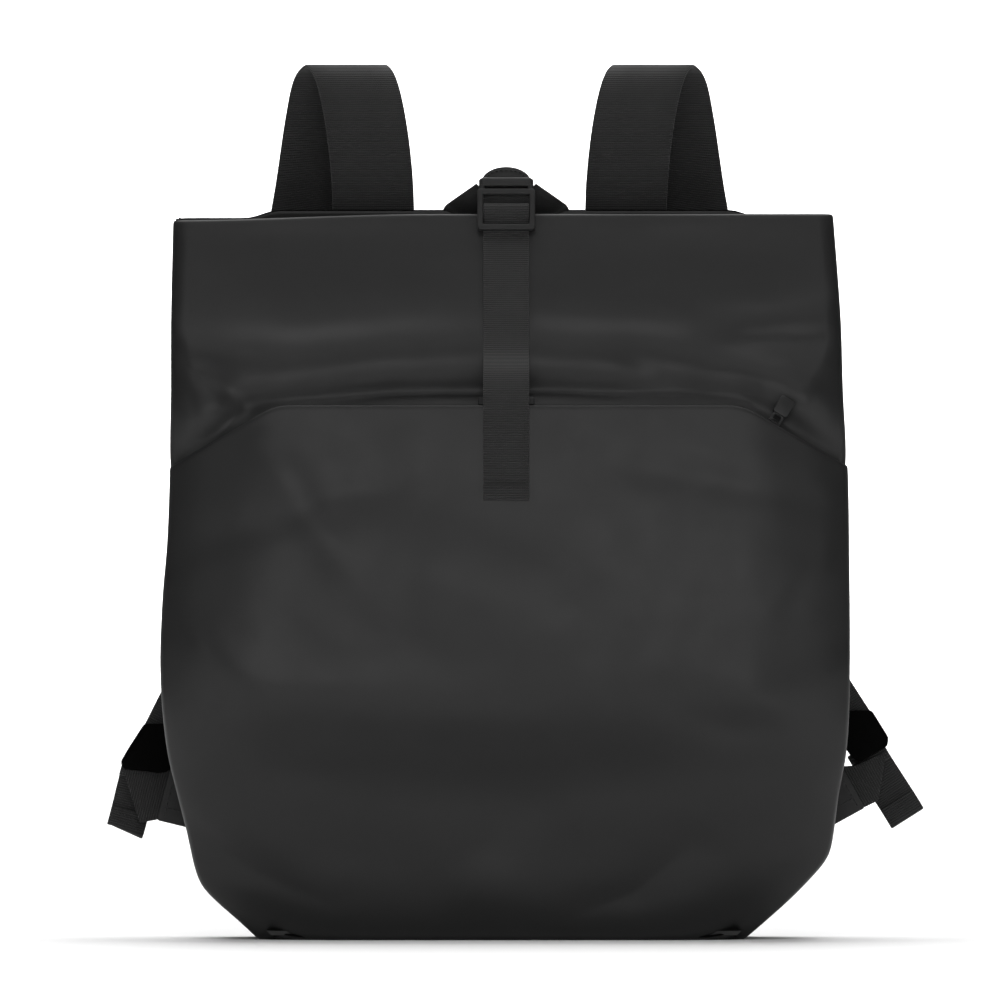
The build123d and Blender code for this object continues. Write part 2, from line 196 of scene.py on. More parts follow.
def ribbon(name, path, ways, width, body, nodes=(), slot="webbing", thickness=WEBBING, spacing=1.6,
           sheared=False):
    """Webbing through the points of path. Each of ways is the direction that its width runs there."""
    ways = ways if isinstance(ways, list) else [ways] * len(path)
    points = [(Vector(p[:3]), Vector(p[3:]).normalized())
              for p in Curve([(*p, *w) for p, w in zip(path, ways)]).spaced(spacing)]
    edge = thickness * 0.35
    half_w, half_t = width / 2, thickness / 2
    flat = half_w * 0.4
    under = [(-half_w, -half_t + edge), (-half_w + edge, -half_t), (-flat, -half_t), (flat, -half_t),
             (half_w - edge, -half_t), (half_w, -half_t + edge)]
    profile = under + [(a, -b) for a, b in reversed(under)]
    rings, uvs, run = [], [], 0.0
    for i, (here, way) in enumerate(points):
        before, after = points[max(i - 1, 0)][0], points[min(i + 1, len(points) - 1)][0]
        along = (after - before).normalized()
        side = way if sheared else (way - along * way.dot(along)).normalized()
        up = along.cross(side).normalized()
        rings.append([here + side * a + up * b for a, b in profile])
        run += (here - before).length if i else 0.0
        uvs += [(a, run) for a, _ in profile]
    return make_piece(name, *loft(rings), body, slot, nodes, uvs)


def stitch_row(name, points, out, body, pitch=3.4, length=2.5, radius=0.32):
    """Thread along a line of points, each stitch a small arch that stands proud along out."""
    curve = Curve(spline(points, 0.4))
    out = Vector(out).normalized()
    steps, sides, probe = 4, 6, 0.2

    def at(place):
        return Vector(curve.at(place))

    vertices, faces = [], []
    for n in range(int(curve.length // pitch)):
        start = n * pitch + (pitch - length) / 2
        rings = []
        for k in range(steps + 1):
            place = start + length * k / steps
            along = (at(place + probe) - at(place - probe)).normalized()
            side = along.cross(out).normalized()
            arch = math.sin(math.pi * k / steps)
            swell = radius * (0.45 + 0.55 * arch)
            centre = at(place) + out * (radius * 0.9 * arch - radius * 0.2)
            rings.append([centre + (side * math.cos(a) + out * math.sin(a)) * swell
                          for a in (math.tau * m / sides for m in range(sides))])
        new_vertices, new_faces = loft(rings)
        faces += [tuple(i + len(vertices) for i in face) for face in new_faces]
        vertices += new_vertices
    return make_piece(name, vertices, faces, body, "thread")


def plate(name, outline, depth, place, body, slot, nodes=(), bevel=0.5):
    """A flat plate: an outline of (a, b) pairs, and depth (low, high). place(a, b, depth) puts it in space."""
    count = len(outline)
    vertices = [place(a, b, d) for d in depth for a, b in outline]
    faces = [tuple(reversed(range(count))), tuple(range(count, 2 * count))]
    faces += [(i, (i + 1) % count, (i + 1) % count + count, i + count) for i in range(count)]
    piece = make_piece(name, vertices, faces, body, slot, nodes)
    fix_normals(piece)
    return round_edges(piece, bevel)


def fix_normals(piece):
    shape = bmesh.new()
    shape.from_mesh(piece.data)
    bmesh.ops.recalc_face_normals(shape, faces=shape.faces)
    shape.to_mesh(piece.data)
    shape.free()


def rounded(half_a, half_b, radius, steps=6, centre=(0.0, 0.0)):
    """The outline of a rectangle with round corners."""
    points = []
    for turn, (sa, sb) in enumerate(((1, 1), (-1, 1), (-1, -1), (1, -1))):
        for k in range(steps + 1):
            angle = math.pi / 2 * (turn + k / steps)
            points.append((centre[0] + sa * (half_a - radius) + radius * math.cos(angle),
                           centre[1] + sb * (half_b - radius) + radius * math.sin(angle)))
    return points


def ring_plate(name, outer, inner, depth, place, body, slot, nodes=(), bevel=0.45):
    """A plate with one hole. Outer and inner outlines have equally many points."""
    count = len(outer)
    loops = [(outer, depth[0]), (outer, depth[1]), (inner, depth[1]), (inner, depth[0])]
    vertices = [place(a, b, d) for outline, d in loops for a, b in outline]
    faces = []
    for ring in range(4):
        for i in range(count):
            j = (i + 1) % count
            a, b = ring * count, (ring + 1) % 4 * count
            faces.append((a + i, a + j, b + j, b + i))
    piece = make_piece(name, vertices, faces, body, slot, nodes)
    fix_normals(piece)
    return round_edges(piece, bevel)


# --- Materials ----------------------------------------------------------------------------------
class Look:
    """A grey principled material and short words for its nodes."""

    def __init__(self, name, value, roughness, metallic=0.0, specular=0.5):
        self.material = bpy.data.materials.new(name)
        self.material.use_nodes = True
        self.tree = self.material.node_tree
        self.shader = self.tree.nodes["Principled BSDF"]
        self.set("Base Color", (value, value, value, 1.0))
        self.set("Roughness", roughness)
        self.set("Metallic", metallic)
        self.set("Specular IOR Level", specular)

    def set(self, socket, value):
        self.shader.inputs[socket].default_value = value

    def node(self, kind, **values):
        node = self.tree.nodes.new(kind)
        for key, value in values.items():
            if key in node.inputs:
                node.inputs[key].default_value = value
            else:
                setattr(node, key, value)
        return node

    def link(self, source, target):
        self.tree.links.new(source, target)

    def place(self):
        """Object coordinates in metres."""
        return self.node("ShaderNodeTexCoord").outputs["Object"]

    def run(self, across, along):
        """The webbing's own coordinates, in millimetres."""
        uv = self.node("ShaderNodeUVMap", uv_map="run")
        split = self.node("ShaderNodeSeparateXYZ")
        self.link(uv.outputs["UV"], split.inputs[0])
        return self.wave(split.outputs["X"], across), self.wave(split.outputs["Y"], along)

    def wave(self, value, pitch):
        """A 0 to 1 wave of that pitch."""
        turn = self.math("MULTIPLY", value, math.tau / pitch)
        return self.math("MULTIPLY_ADD", self.math("SINE", turn), 0.5, 0.5)

    def math(self, operation, *values):
        node = self.node("ShaderNodeMath", operation=operation)
        for i, value in enumerate(values):
            if isinstance(value, (int, float)):
                node.inputs[i].default_value = value
            else:
                self.link(value, node.inputs[i])
        return node.outputs[0]

    def noise(self, scale, detail=3.0, roughness=0.55):
        node = self.node("ShaderNodeTexNoise", Scale=scale, Detail=detail, Roughness=roughness)
        self.link(self.place(), node.inputs["Vector"])
        return node.outputs["Fac"]

    def pebbles(self, scale, randomness=1.0):
        node = self.node("ShaderNodeTexVoronoi", Scale=scale, Randomness=randomness)
        node.feature = "SMOOTH_F1"
        self.link(self.place(), node.inputs["Vector"])
        return node.outputs["Distance"]

    def span(self, value, low, high):
        node = self.node("ShaderNodeMapRange")
        node.inputs["To Min"].default_value = low
        node.inputs["To Max"].default_value = high
        self.link(value, node.inputs["Value"])
        return node.outputs["Result"]

    def tint(self, value, dark, light):
        factor, first, second, result = 0, 6, 7, 2  # the colour sockets of a Mix node
        node = self.node("ShaderNodeMix", data_type="RGBA")
        node.inputs[first].default_value = (dark, dark, dark, 1.0)
        node.inputs[second].default_value = (light, light, light, 1.0)
        self.link(value, node.inputs[factor])
        self.link(node.outputs[result], self.shader.inputs["Base Color"])

    def rough(self, value, low, high):
        self.link(self.span(value, low, high), self.shader.inputs["Roughness"])

    def bump(self, *layers):
        """Layers of (height, strength, distance in millimetres), one on top of another."""
        normal = None
        for height, strength, distance in layers:
            node = self.node("ShaderNodeBump", Strength=strength, Distance=distance * MM)
            self.link(height, node.inputs["Height"])
            if normal:
                self.link(normal, node.inputs["Normal"])
            normal = node.outputs["Normal"]
        self.link(normal, self.shader.inputs["Normal"])


def make_leather():
    look = Look("leather", 0.0085, 0.46, specular=0.3)
    look.tint(look.noise(14.0, 4.0), 0.0066, 0.0098)
    look.rough(look.noise(60.0, 5.0), 0.41, 0.51)
    wrinkles, grain, pores = look.noise(9.0, 2.0), look.pebbles(1500.0), look.noise(2600.0, 2.0)
    look.bump((wrinkles, 0.25, 1.2), (grain, 0.25, 0.08), (pores, 0.2, 0.04))
    return look.material


def make_webbing():
    look = Look("webbing", 0.012, 0.78, specular=0.22)
    across, along = look.run(1.05, 1.3)
    weave = look.math("MULTIPLY_ADD", across, 0.22, look.math("MULTIPLY", along, 0.78))
    fuzz = look.noise(1800.0, 3.0)
    # Base colour darker in the weave's grooves and lighter on its ribs: painted shade on the ribs, with fine
    # random fuzz tone on top.
    groove_shade_and_fuzz = look.math("MULTIPLY_ADD", fuzz, 0.35, look.math("MULTIPLY", weave, 0.75))
    look.tint(groove_shade_and_fuzz, 0.0025, 0.026)
    look.set("Sheen Weight", 0.12)
    look.bump((weave, 0.85, 0.35), (fuzz, 0.25, 0.1))
    return look.material


def make_cloth(name, value, pitch):
    look = Look(name, value, 0.85, specular=0.2)
    weave = look.pebbles(1000.0 / pitch, 0.25)
    look.tint(look.math("MULTIPLY_ADD", look.noise(700.0), 0.6, weave), value * 0.6, value * 1.3)
    look.set("Sheen Weight", 0.15)
    look.bump((weave, 0.5, 0.25))
    return look.material


def make_hard(name, value, roughness, metallic=0.0, specular=0.4):
    look = Look(name, value, roughness, metallic, specular)
    look.tint(look.noise(90.0, 4.0), value * 0.85, value * 1.2)
    look.rough(look.noise(300.0, 4.0), roughness - 0.06, roughness + 0.06)
    look.bump((look.noise(2200.0, 2.0), 0.18, 0.05))
    return look.material


# Every material by the slot that it dresses.
MATERIALS = {
    "leather": make_leather(),
    "webbing": make_webbing(),
    "lining": make_cloth("lining", 0.03, 0.7),
    "binding": make_cloth("binding", 0.012, 1.0),
    "foam": make_cloth("foam", 0.035, 1.6),
    "board": make_hard("board", 0.03, 0.6),
    "zip_tape": make_cloth("zip_tape", 0.010, 0.6),
    "zip_coil": make_hard("zip_coil", 0.010, 0.45),
    "zip_metal": make_hard("zip_metal", 0.02, 0.38, 0.6),
    "buckle_metal": make_hard("buckle_metal", 0.014, 0.58, 0.0, 0.25),
    # Near-black plastic for the side locks, darker than the leather: black plastic, and painted shade for the
    # shaded area over the locks.
    "buckle_plastic": make_hard("buckle_plastic", 0.0012, 0.8, 0.0, 0.03),
    "thread": make_cloth("thread", 0.006, 0.5),
}
# Cut-edge material, darker than the leather and without sheen: leather edge paint, which also paints shade along
# the edges in place of their highlights.
EDGE_PAINT_AND_SHADE = make_hard("edge_paint_and_shade", 0.0025, 0.9, 0.0, 0.02)

# --- The bag's outer form -----------------------------------------------------------------------
# Half widths of the lower body by height, (z, half width), on the bag's left and right.
LOWER_HALF = {
    -1: [(0, 131.5), (11, 143), (22, 155.5), (30, 163), (38, 166.5), (46, 168.5), (60, 171.5), (78, 176),
         (105, 182), (146, 185.4), (185, 184.4), (215, 182), (245, 180.8), (292, 180)],
    1: [(0, 128.5), (11, 141), (22, 153.3), (33, 164.3), (44, 173.8), (52, 177), (78, 180.5), (105, 185),
        (146, 186.6), (215, 186.4), (258, 185.8), (292, 184)],
}
UPPER_HALF = {-1: [(240, 179.2), (264, 180.6), (300, 180.2), (340, 180.4), (FRONT_TOP, 179.8)],
              1: [(240, 183.2), (264, 185.0), (300, 183.4), (340, 182.4), (FRONT_TOP, 178.8)]}
# Front faces in side view, (z, y).
POCKET_FACE = [(0, -50), (14, -56.5), (30, -60), (50, -62), (70, -65.5), (90, -70), (108, -75.3),
               (122, -79.3), (136, -81), (150, -80.8), (200, -75.5), (250, -67), (292, -59.2)]
BODY_FACE = [(0, -42), (60, -55), (136, -63), (200, -58.5), (262, -50), (287, -45.0), (302, -40.5),
             (340, -22.4), (FRONT_TOP, 6)]
POCKET_SEAM_Y = -20.0
POCKET_CORNER = (58.0, 4.5)  # how wide a front corner is, and the radius of its tight edge
WRAP = 2.8  # how far the pocket panel stands outside the body on its sides
SHOULDER_TURN = math.radians(36)  # how far a front turns towards the side before its tight edge
TOP_LEAN = 3.4  # how far the mouth's left corner hangs below its right one
FOOT_RADIUS = 9.0


def side_of(x):
    return 1 if x >= 0 else -1


def half_width(side, z, upper):
    lower = through(LOWER_HALF[side], z)
    if not upper:
        return lower
    return mix(lower - WRAP, through(UPPER_HALF[side], z), smooth(z, 232, 264))


def section(u, half, face, seam, corner):
    """(x, y, outward) of a plan section, from the left seam at u = -1 round the front to the right seam at 1."""
    across, tight = corner
    s, side = abs(u), side_of(u)
    flat_end, wide_end, arc_end = 0.52, 0.78, 0.9
    gentle = math.sin(SHOULDER_TURN)
    wide = (across - tight * (1 - gentle)) / gentle
    if s <= flat_end:
        return side * s / flat_end * (half - across), face, Vector((0, -1, 0))
    turn = min((s - flat_end) / (wide_end - flat_end), 1.0) * SHOULDER_TURN
    x = half - across + wide * math.sin(turn)
    y = face + wide * (1 - math.cos(turn))
    if s > wide_end:
        turn = mix(SHOULDER_TURN, math.pi / 2, min((s - wide_end) / (arc_end - wide_end), 1.0))
        x += tight * (math.sin(turn) - gentle)
        y += tight * (math.cos(SHOULDER_TURN) - math.cos(turn))
    if s > arc_end:
        y = mix(y, seam, (s - arc_end) / (1 - arc_end))
    return side * x, y, Vector((side * math.sin(turn), -math.cos(turn), 0))


class Fold:
    """A soft ridge, or a crease when its height is negative, along a line of (x, z) points."""

    def __init__(self, height, width, *line, sharp=0.0):
        self.height, self.width, self.line, self.sharp = height, width, line, sharp

    def at(self, x, z):
        best = 0.0
        length = sum(math.dist(a, b) for a, b in zip(self.line, self.line[1:]))
        gone = 0.0
        for a, b in zip(self.line, self.line[1:]):
            run = math.dist(a, b)
            t = ((x - a[0]) * (b[0] - a[0]) + (z - a[1]) * (b[1] - a[1])) / run**2
            t = min(max(t, 0.0), 1.0)
            away = math.dist((x, z), (mix(a[0], b[0], t), mix(a[1], b[1], t)))
            place = (gone + run * t) / length
            swell = math.sin(math.pi * mix(0.12, 0.88, place)) ** 0.8
            soft = math.exp(-((away / self.width) ** 2))
            keen = math.exp(-away / (self.width * 0.6))
            best = max(best, mix(soft, keen, self.sharp) * swell)
            gone += run
        return best * self.height


POCKET_FOLDS = [
    Fold(4.5, 34, (-70, 205), (10, 180), (70, 150)),
    Fold(2.0, 15, (-178, 166), (-135, 138), (-60, 130), (2, 124), (60, 138)),
    Fold(-2.6, 20, (-160, 108), (-90, 88), (0, 78), (70, 88), (140, 104)),
    Fold(2.6, 13, (-182, 128), (-168, 100), (-172, 78)),
    Fold(2.4, 12, (-176, 84), (-160, 66), (-130, 52)),
    Fold(-2.6, 10, (-172, 68), (-140, 40), (-95, 20), sharp=0.4),
    Fold(-2.4, 11, (28, 10), (70, 26), (100, 50), sharp=0.4),
    Fold(3.0, 24, (-20, 45), (0, 22), (10, 6)),
    Fold(2.6, 14, (184, 112), (172, 84), (178, 62)),
    Fold(2.0, 10, (118, 140), (150, 128), (180, 150)),
    Fold(-1.8, 8, (96, 124), (128, 116), (150, 122)),
    Fold(2.2, 14, (150, 180), (172, 205), (178, 235)),
    Fold(-1.8, 12, (-60, 248), (-110, 236), (-165, 214)),
    Fold(2.0, 12, (-128, 268), (-110, 236), (-84, 206)),
    Fold(-1.3, 10, (60, 260), (110, 252), (165, 240)),
    Fold(1.6, 12, (-176, 190), (-160, 160), (-140, 140)),
]
UPPER_FOLDS = [
    Fold(1.3, 13, (30, 376), (90, 378), (160, 374)),
    Fold(-2.8, 15, (18, 345), (80, 343), (158, 346)),
    Fold(1.0, 11, (-175, 386), (-90, 384), (-25, 384)),
    Fold(-2.4, 18, (-176, 346), (-110, 346), (-40, 350)),
    Fold(3.4, 15, (-176, 322), (-120, 318), (-60, 322), (0, 326), (60, 324), (105, 318)),
    Fold(2.6, 9, (112, 340), (145, 338), (180, 344)),
    Fold(-2.4, 7, (118, 326), (150, 330), (182, 326), sharp=0.5),
    Fold(2.4, 8, (120, 310), (152, 306), (178, 286)),
    Fold(-2.6, 8, (-180, 318), (-158, 306), (-142, 292), sharp=0.5),
    Fold(-1.8, 8, (62, 322), (84, 308), (104, 302), sharp=0.4),
    Fold(2.2, 9, (-178, 296), (-168, 280), (-176, 262)),
    Fold(-7.5, 9, (-138, 292), (-60, 299), (20, 300), (128, 296)),
    Fold(-5.0, 8, (-182, 262), (-158, 276), (-134, 292)),
    Fold(-5.0, 8, (186, 262), (160, 278), (136, 292)),
]


def ripple(x, z, size, seed):
    return noise.noise(Vector((x / size, z / size, seed)))


def pocket_relief(x, z):
    folds = sum(fold.at(x, z) for fold in POCKET_FOLDS)
    return folds + 0.8 * ripple(x, z, 55, 1.0) + 0.35 * ripple(x, z, 21, 2.0)


def upper_relief(x, z):
    folds = sum(fold.at(x, z) for fold in UPPER_FOLDS)
    ripples = 0.7 * ripple(x, z, 48, 5.0) + 0.3 * ripple(x, z, 19, 6.0)
    return (folds + ripples) * smooth(z, FRONT_TOP, FRONT_TOP - 12)


def foot_round(z):
    """How far a wall curls in just above the base."""
    up = min(max(z / FOOT_RADIUS, 0.0), 1.0)
    return FOOT_RADIUS * 0.6 * (1 - math.sqrt(1 - (1 - up) ** 2))


# --- Pocket -------------------------------------------------------------------------------------
EDGE_SLANT = {-1: (125.0, 181.5), 1: (131.0, 187.0)}  # where the top edge's slanted ends begin and end
EDGE_ROUNDING = 7.0
EDGE_END_Z = 258.0


def pocket_edge(x):
    """Height of the pocket's top edge, level in the middle and slanting down at both ends."""
    begin, end = EDGE_SLANT[side_of(x)]
    slope = (POCKET_TOP - EDGE_END_Z) / (end - begin)
    past = abs(x) - begin
    if past <= -EDGE_ROUNDING:
        return POCKET_TOP
    if past < EDGE_ROUNDING:
        return POCKET_TOP - slope * (past + EDGE_ROUNDING) ** 2 / (4 * EDGE_ROUNDING)
    return max(POCKET_TOP - slope * past, EDGE_END_Z)


def pocket_point(u, z, inset=0.0):
    face = through(POCKET_FACE, z)
    curl = foot_round(z)
    half = half_width(side_of(u), z, False)
    x, y, out = section(u, half, face, POCKET_SEAM_Y, POCKET_CORNER)
    depth = abs(y - POCKET_SEAM_Y) / abs(face - POCKET_SEAM_Y)
    # The wall is held at its top edge, its base and its side seams.
    hold = smooth(z, -2, 26) * smooth(depth, 0.0, 0.5)
    edge_pull = 1 - 0.75 * smooth(z, pocket_edge(x) - 22, pocket_edge(x))
    push = pocket_relief(x, z) * hold * edge_pull * out.y**2 - inset
    return Vector((x, y + curl * depth, z)) + out * push


def pocket_rows(u, v, low=0.6):
    """Heights of the panel's rows, which bend to follow its top edge."""
    slant = 275
    half = half_width(side_of(u), slant, False)
    x = section(u, half, through(POCKET_FACE, slant), POCKET_SEAM_Y, POCKET_CORNER)[0]
    return mix(low, POCKET_TOP, v) - (POCKET_TOP - pocket_edge(x)) * smooth(v, 0.45, 1.0)


def make_pocket():
    def skin(u, v):
        across = u * 2 - 1
        return pocket_point(across, pocket_rows(across, v))

    sheet_of("pocket_skin", skin, 132, 92, "bag", "leather", ["pocket_panel"], flip=True)

    def inner(u, v):
        across = mix(-0.8, 0.8, u)
        return pocket_point(across, pocket_rows(across, v * 0.94, 6.0), LEATHER + 1.2)

    sheet_of("pocket_inner_lining", inner, 60, 40, "bag", "lining", ["pocket_lining"], LINING, 0)


# --- Body ---------------------------------------------------------------------------------------
def body_corner(z):
    """How wide the rounding between the front and the sides is, and the radius of its tight edge."""
    t = smooth(z, 235, 335)
    return mix(55.0, 7.0, t), mix(4.0, 3.5, t)


def body_seam(z):
    return max(-16.0, through(BODY_FACE, z) + 9.0)


def body_point(u, z, inset=0.0):
    half = half_width(side_of(u), z, True)
    x, y, out = section(u, half, through(BODY_FACE, z), body_seam(z), body_corner(z))
    push = upper_relief(x, z) * smooth(z, 240, 262) * out.y**2 - inset
    if out.y < -0.5:
        out = mix(out, Vector((0, -0.9, 0.44)), smooth(z, 290, 320)).normalized()
    lean = TOP_LEAN * smooth(-x, 40, 178) * smooth(z, 300, FRONT_TOP)
    return Vector((x, y - foot_round(z) * out.y, z - lean)) + out * push


def gusset_point(side, t, z, inset=0.0):
    """Across a side wall, from its front seam at t = 0 to the back panel at t = 1."""
    half = half_width(side, z, True)
    seam = body_seam(z)
    sag = 2.2 * math.sin(math.pi * t) * smooth(z, 300, FRONT_TOP)
    swell = 1.6 * math.sin(math.pi * t) * smooth(z, 300, 180) * smooth(z, 20, 80)
    crumple = 1.1 * ripple(t * 40, z, 30, 11.0 + side) * math.sin(math.pi * t)
    x = half - inset - sag + swell + crumple
    lean = TOP_LEAN * smooth(z, 300, FRONT_TOP) * (1 - t) if side < 0 else 0.0
    return Vector((side * x, mix(seam, BACK_Y - LEATHER / 2, t), z - lean))


def back_edge(x):
    """Height of the back panel's top edge."""
    return mix(BACK_TOP, FRONT_TOP - 1.5, smooth(abs(x), 124, 142))


def make_body():
    def front(u, v):
        return body_point(u * 2 - 1, mix(BASE_TOP, FRONT_TOP, v))

    sheet_of("front_skin", front, 120, 110, "bag", "leather", ["front_panel"], flip=True)
    for name, side in SIDES:
        def wall(u, v, side=side):
            return gusset_point(side, u, mix(BASE_TOP, FRONT_TOP - 0.8, v))

        sheet_of(f"gusset_skin_{name}", wall, 12, 90, "bag", "leather", [f"gusset_{name}"], flip=side < 0)

    def back(u, v):
        z = mix(BASE_TOP, BACK_TOP, v)
        s = u * 2 - 1
        half = half_width(side_of(s), min(z, FRONT_TOP), True)
        x = s * half
        z -= (BACK_TOP - back_edge(x)) * smooth(v, 0.9, 1.0)
        edge = min(half - abs(x), z, back_edge(x) - z)
        puff = 1.0 * smooth(edge, 4, 26) - 1.2 * (1 - smooth(edge, 0, 5))
        return Vector((x, BACK_Y + puff + 0.3 * ripple(x, z, 40, 20.0), z))

    sheet_of("back_skin", back, 80, 84, "bag", "leather", ["back_panel"])
    make_base()
    make_inside()


def make_base():
    def floor(u, v):
        s, y = u * 2 - 1, mix(-46.0, BACK_Y - 1.0, v)
        tuck = 14.0 * (1 - smooth(y, -46.0, -34.0)) ** 2
        half = 128.0 - tuck * 0.6
        lift = 1.4 * smooth(abs(s), 0.93, 1.0) + 1.0 * (1 - smooth(y, -46.0, -40.0))
        return Vector((s * half, y, 1.9 + lift))

    sheet_of("base_skin", floor, 50, 20, "bag", "leather", ["base_panel"], thickness=1.8, levels=1)


def make_inside():
    def front(u, v):
        return body_point(mix(-0.97, 0.97, u), mix(8.0, FRONT_TOP - 20, v), LEATHER + 0.6)

    sheet_of("lining_front", front, 60, 60, "bag", "lining", ["lining", "lining_upper_front"], LINING, 0)
    for name, side in SIDES:
        def wall(u, v, side=side):
            return gusset_point(side, mix(-0.05, 0.9, u), mix(8.0, FRONT_TOP - 8, v), LEATHER + 0.6)

        sheet_of(f"lining_{name}", wall, 10, 40, "bag", "lining", (), LINING, 0)

    def back(u, v):
        z = mix(6.0, BACK_TOP - 12, v)
        half = half_width(1, min(z, FRONT_TOP), True) - 6
        s = u * 2 - 1
        return Vector((s * half, LINING_Y + 0.4 * ripple(s * half, z, 60, 31.0), z))

    sheet_of("lining_back", back, 30, 40, "bag", "lining", (), LINING, 0)
    make_facings()
    make_sleeve()
    make_foam()


def make_facings():
    """Leather strips inside the mouth's two edges."""
    def front(u, v):
        return body_point(mix(-0.58, 0.58, u), mix(FRONT_TOP - 28, FRONT_TOP - 0.6, v), LEATHER + 0.3)

    def back(u, v):
        x = mix(-166.0, 166.0, u)
        return Vector((x, BACK_Y - LEATHER - 0.9, mix(BACK_TOP - 24, min(back_edge(x), FRONT_TOP) - 1.5, v)))

    sheet_of("mouth_facing_front_skin", front, 60, 8, "bag", "leather", ["mouth_facing_front"], 1.2, 1)
    sheet_of("mouth_facing_back_skin", back, 50, 6, "bag", "leather", ["mouth_facing_back"], 1.2, 1, True)


def make_sleeve():
    """The padded laptop sleeve, quilted in upright channels, with its bound top edge."""
    low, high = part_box("laptop_sleeve")
    foot, top = low.z / MM + 2, high.z / MM
    left, right = low.x / MM, high.x / MM
    middle = (low.y + high.y) / 2 / MM
    channels = 7

    def face(side):
        def point(u, v):
            x, z = mix(left, right, u), mix(foot, top, v)
            room = half_width(1, z, True) - 9
            x = max(min(x, room), -room)
            quilt = abs(math.sin(math.pi * channels * u)) ** 0.5
            edge = smooth(min(v, 1 - v) * (top - foot), 0, 9)
            return Vector((x, middle + side * (0.35 + 1.75 * quilt * edge), z))
        return point

    columns, rows = 70, 40
    vertices = [f(i / columns, j / rows)
                for f in (face(-1), face(1)) for j in range(rows + 1) for i in range(columns + 1)]
    size = (columns + 1) * (rows + 1)
    faces = []
    for j in range(rows):
        for i in range(columns):
            a = j * (columns + 1) + i
            quad = (a, a + 1, a + columns + 2, a + columns + 1)
            faces.append(quad)
            faces.append(tuple(k + size for k in quad[::-1]))
    rim = [i for i in range(columns + 1)] + [j * (columns + 1) + columns for j in range(1, rows + 1)]
    rim += [rows * (columns + 1) + i for i in range(columns - 1, -1, -1)]
    rim += [j * (columns + 1) for j in range(rows - 1, 0, -1)]
    for k, a in enumerate(rim):
        b = rim[(k + 1) % len(rim)]
        faces.append((b, a, a + size, b + size))
    sleeve = make_piece("laptop_sleeve_pad", vertices, faces, "bag", "lining", ["laptop_sleeve"])
    fix_normals(sleeve)
    for name, x in (("left", left + 1.5), ("right", right - 1.5)):
        def pleat(u, v, x=x):
            z = mix(foot, top, v)
            room = half_width(1, z, True) - 9
            fold = 3.0 * math.sin(math.pi * u) * (1 if x > 0 else -1)
            return Vector((max(min(x, room), -room) - fold, mix(middle + 2.4, LINING_Y - 0.8, u), z))

        sheet_of(f"sleeve_pleat_{name}", pleat, 8, 40, "bag", "lining", [f"sleeve_gusset_{name}"], 0.9, 1)
    edge = [(x, middle, top + 0.6) for x in (left, 0, right)]
    ribbon("sleeve_bound_edge", edge, (0, 1, 0), 5.0, "bag", ["sleeve_binding"], "binding", 2.2, 5.0)


def make_foam():
    """The foam pad behind the back panel, a crowned slab."""
    low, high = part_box("back_foam")
    centre_y = (low.y + high.y) / 2 / MM

    def ring(z, thick):
        half = half_width(1, min(z, FRONT_TOP), True) - 5
        return [(x, centre_y + y * thick, z) for x, y in
                [(-half, -0.6), (-half + 3, -1), (0, -1.05), (half - 3, -1), (half, -0.6),
                 (half, 0.6), (half - 3, 1), (0, 1.0), (-half + 3, 1), (-half, 0.6)]]

    bottom, top = low.z / MM + 1, high.z / MM
    between = [(mix(bottom + 4, top - 4, k / 30), 2.7) for k in range(1, 30)]
    heights = [(bottom, 1.4), (bottom + 4, 2.6), *between, (top - 4, 2.6), (top, 1.4)]
    rings = [ring(z, thick) for z, thick in heights]
    pad = make_piece("back_foam_pad", *loft(rings), "bag", "foam", ["back_foam"])
    fix_normals(pad)
    soften(pad)


# --- Closure ------------------------------------------------------------------------------------
SLOPE_FOOT = Vector((0, -46, 290))
SLOPE_UP = Vector((0, 52, 107)).normalized()
SLOPE_OUT = Vector((0, -SLOPE_UP.z, SLOPE_UP.y))
CLOSURE_X = 1.2
CLOSURE_WIDTH = 25.0


def on_slope(up, out, x=CLOSURE_X):
    """A point by its distance up the upper front and out from it."""
    return SLOPE_FOOT + SLOPE_UP * up + SLOPE_OUT * out + Vector((x, 0, 0))


def slope_place(x, up, out):
    return on_slope(up, out, x + CLOSURE_X)


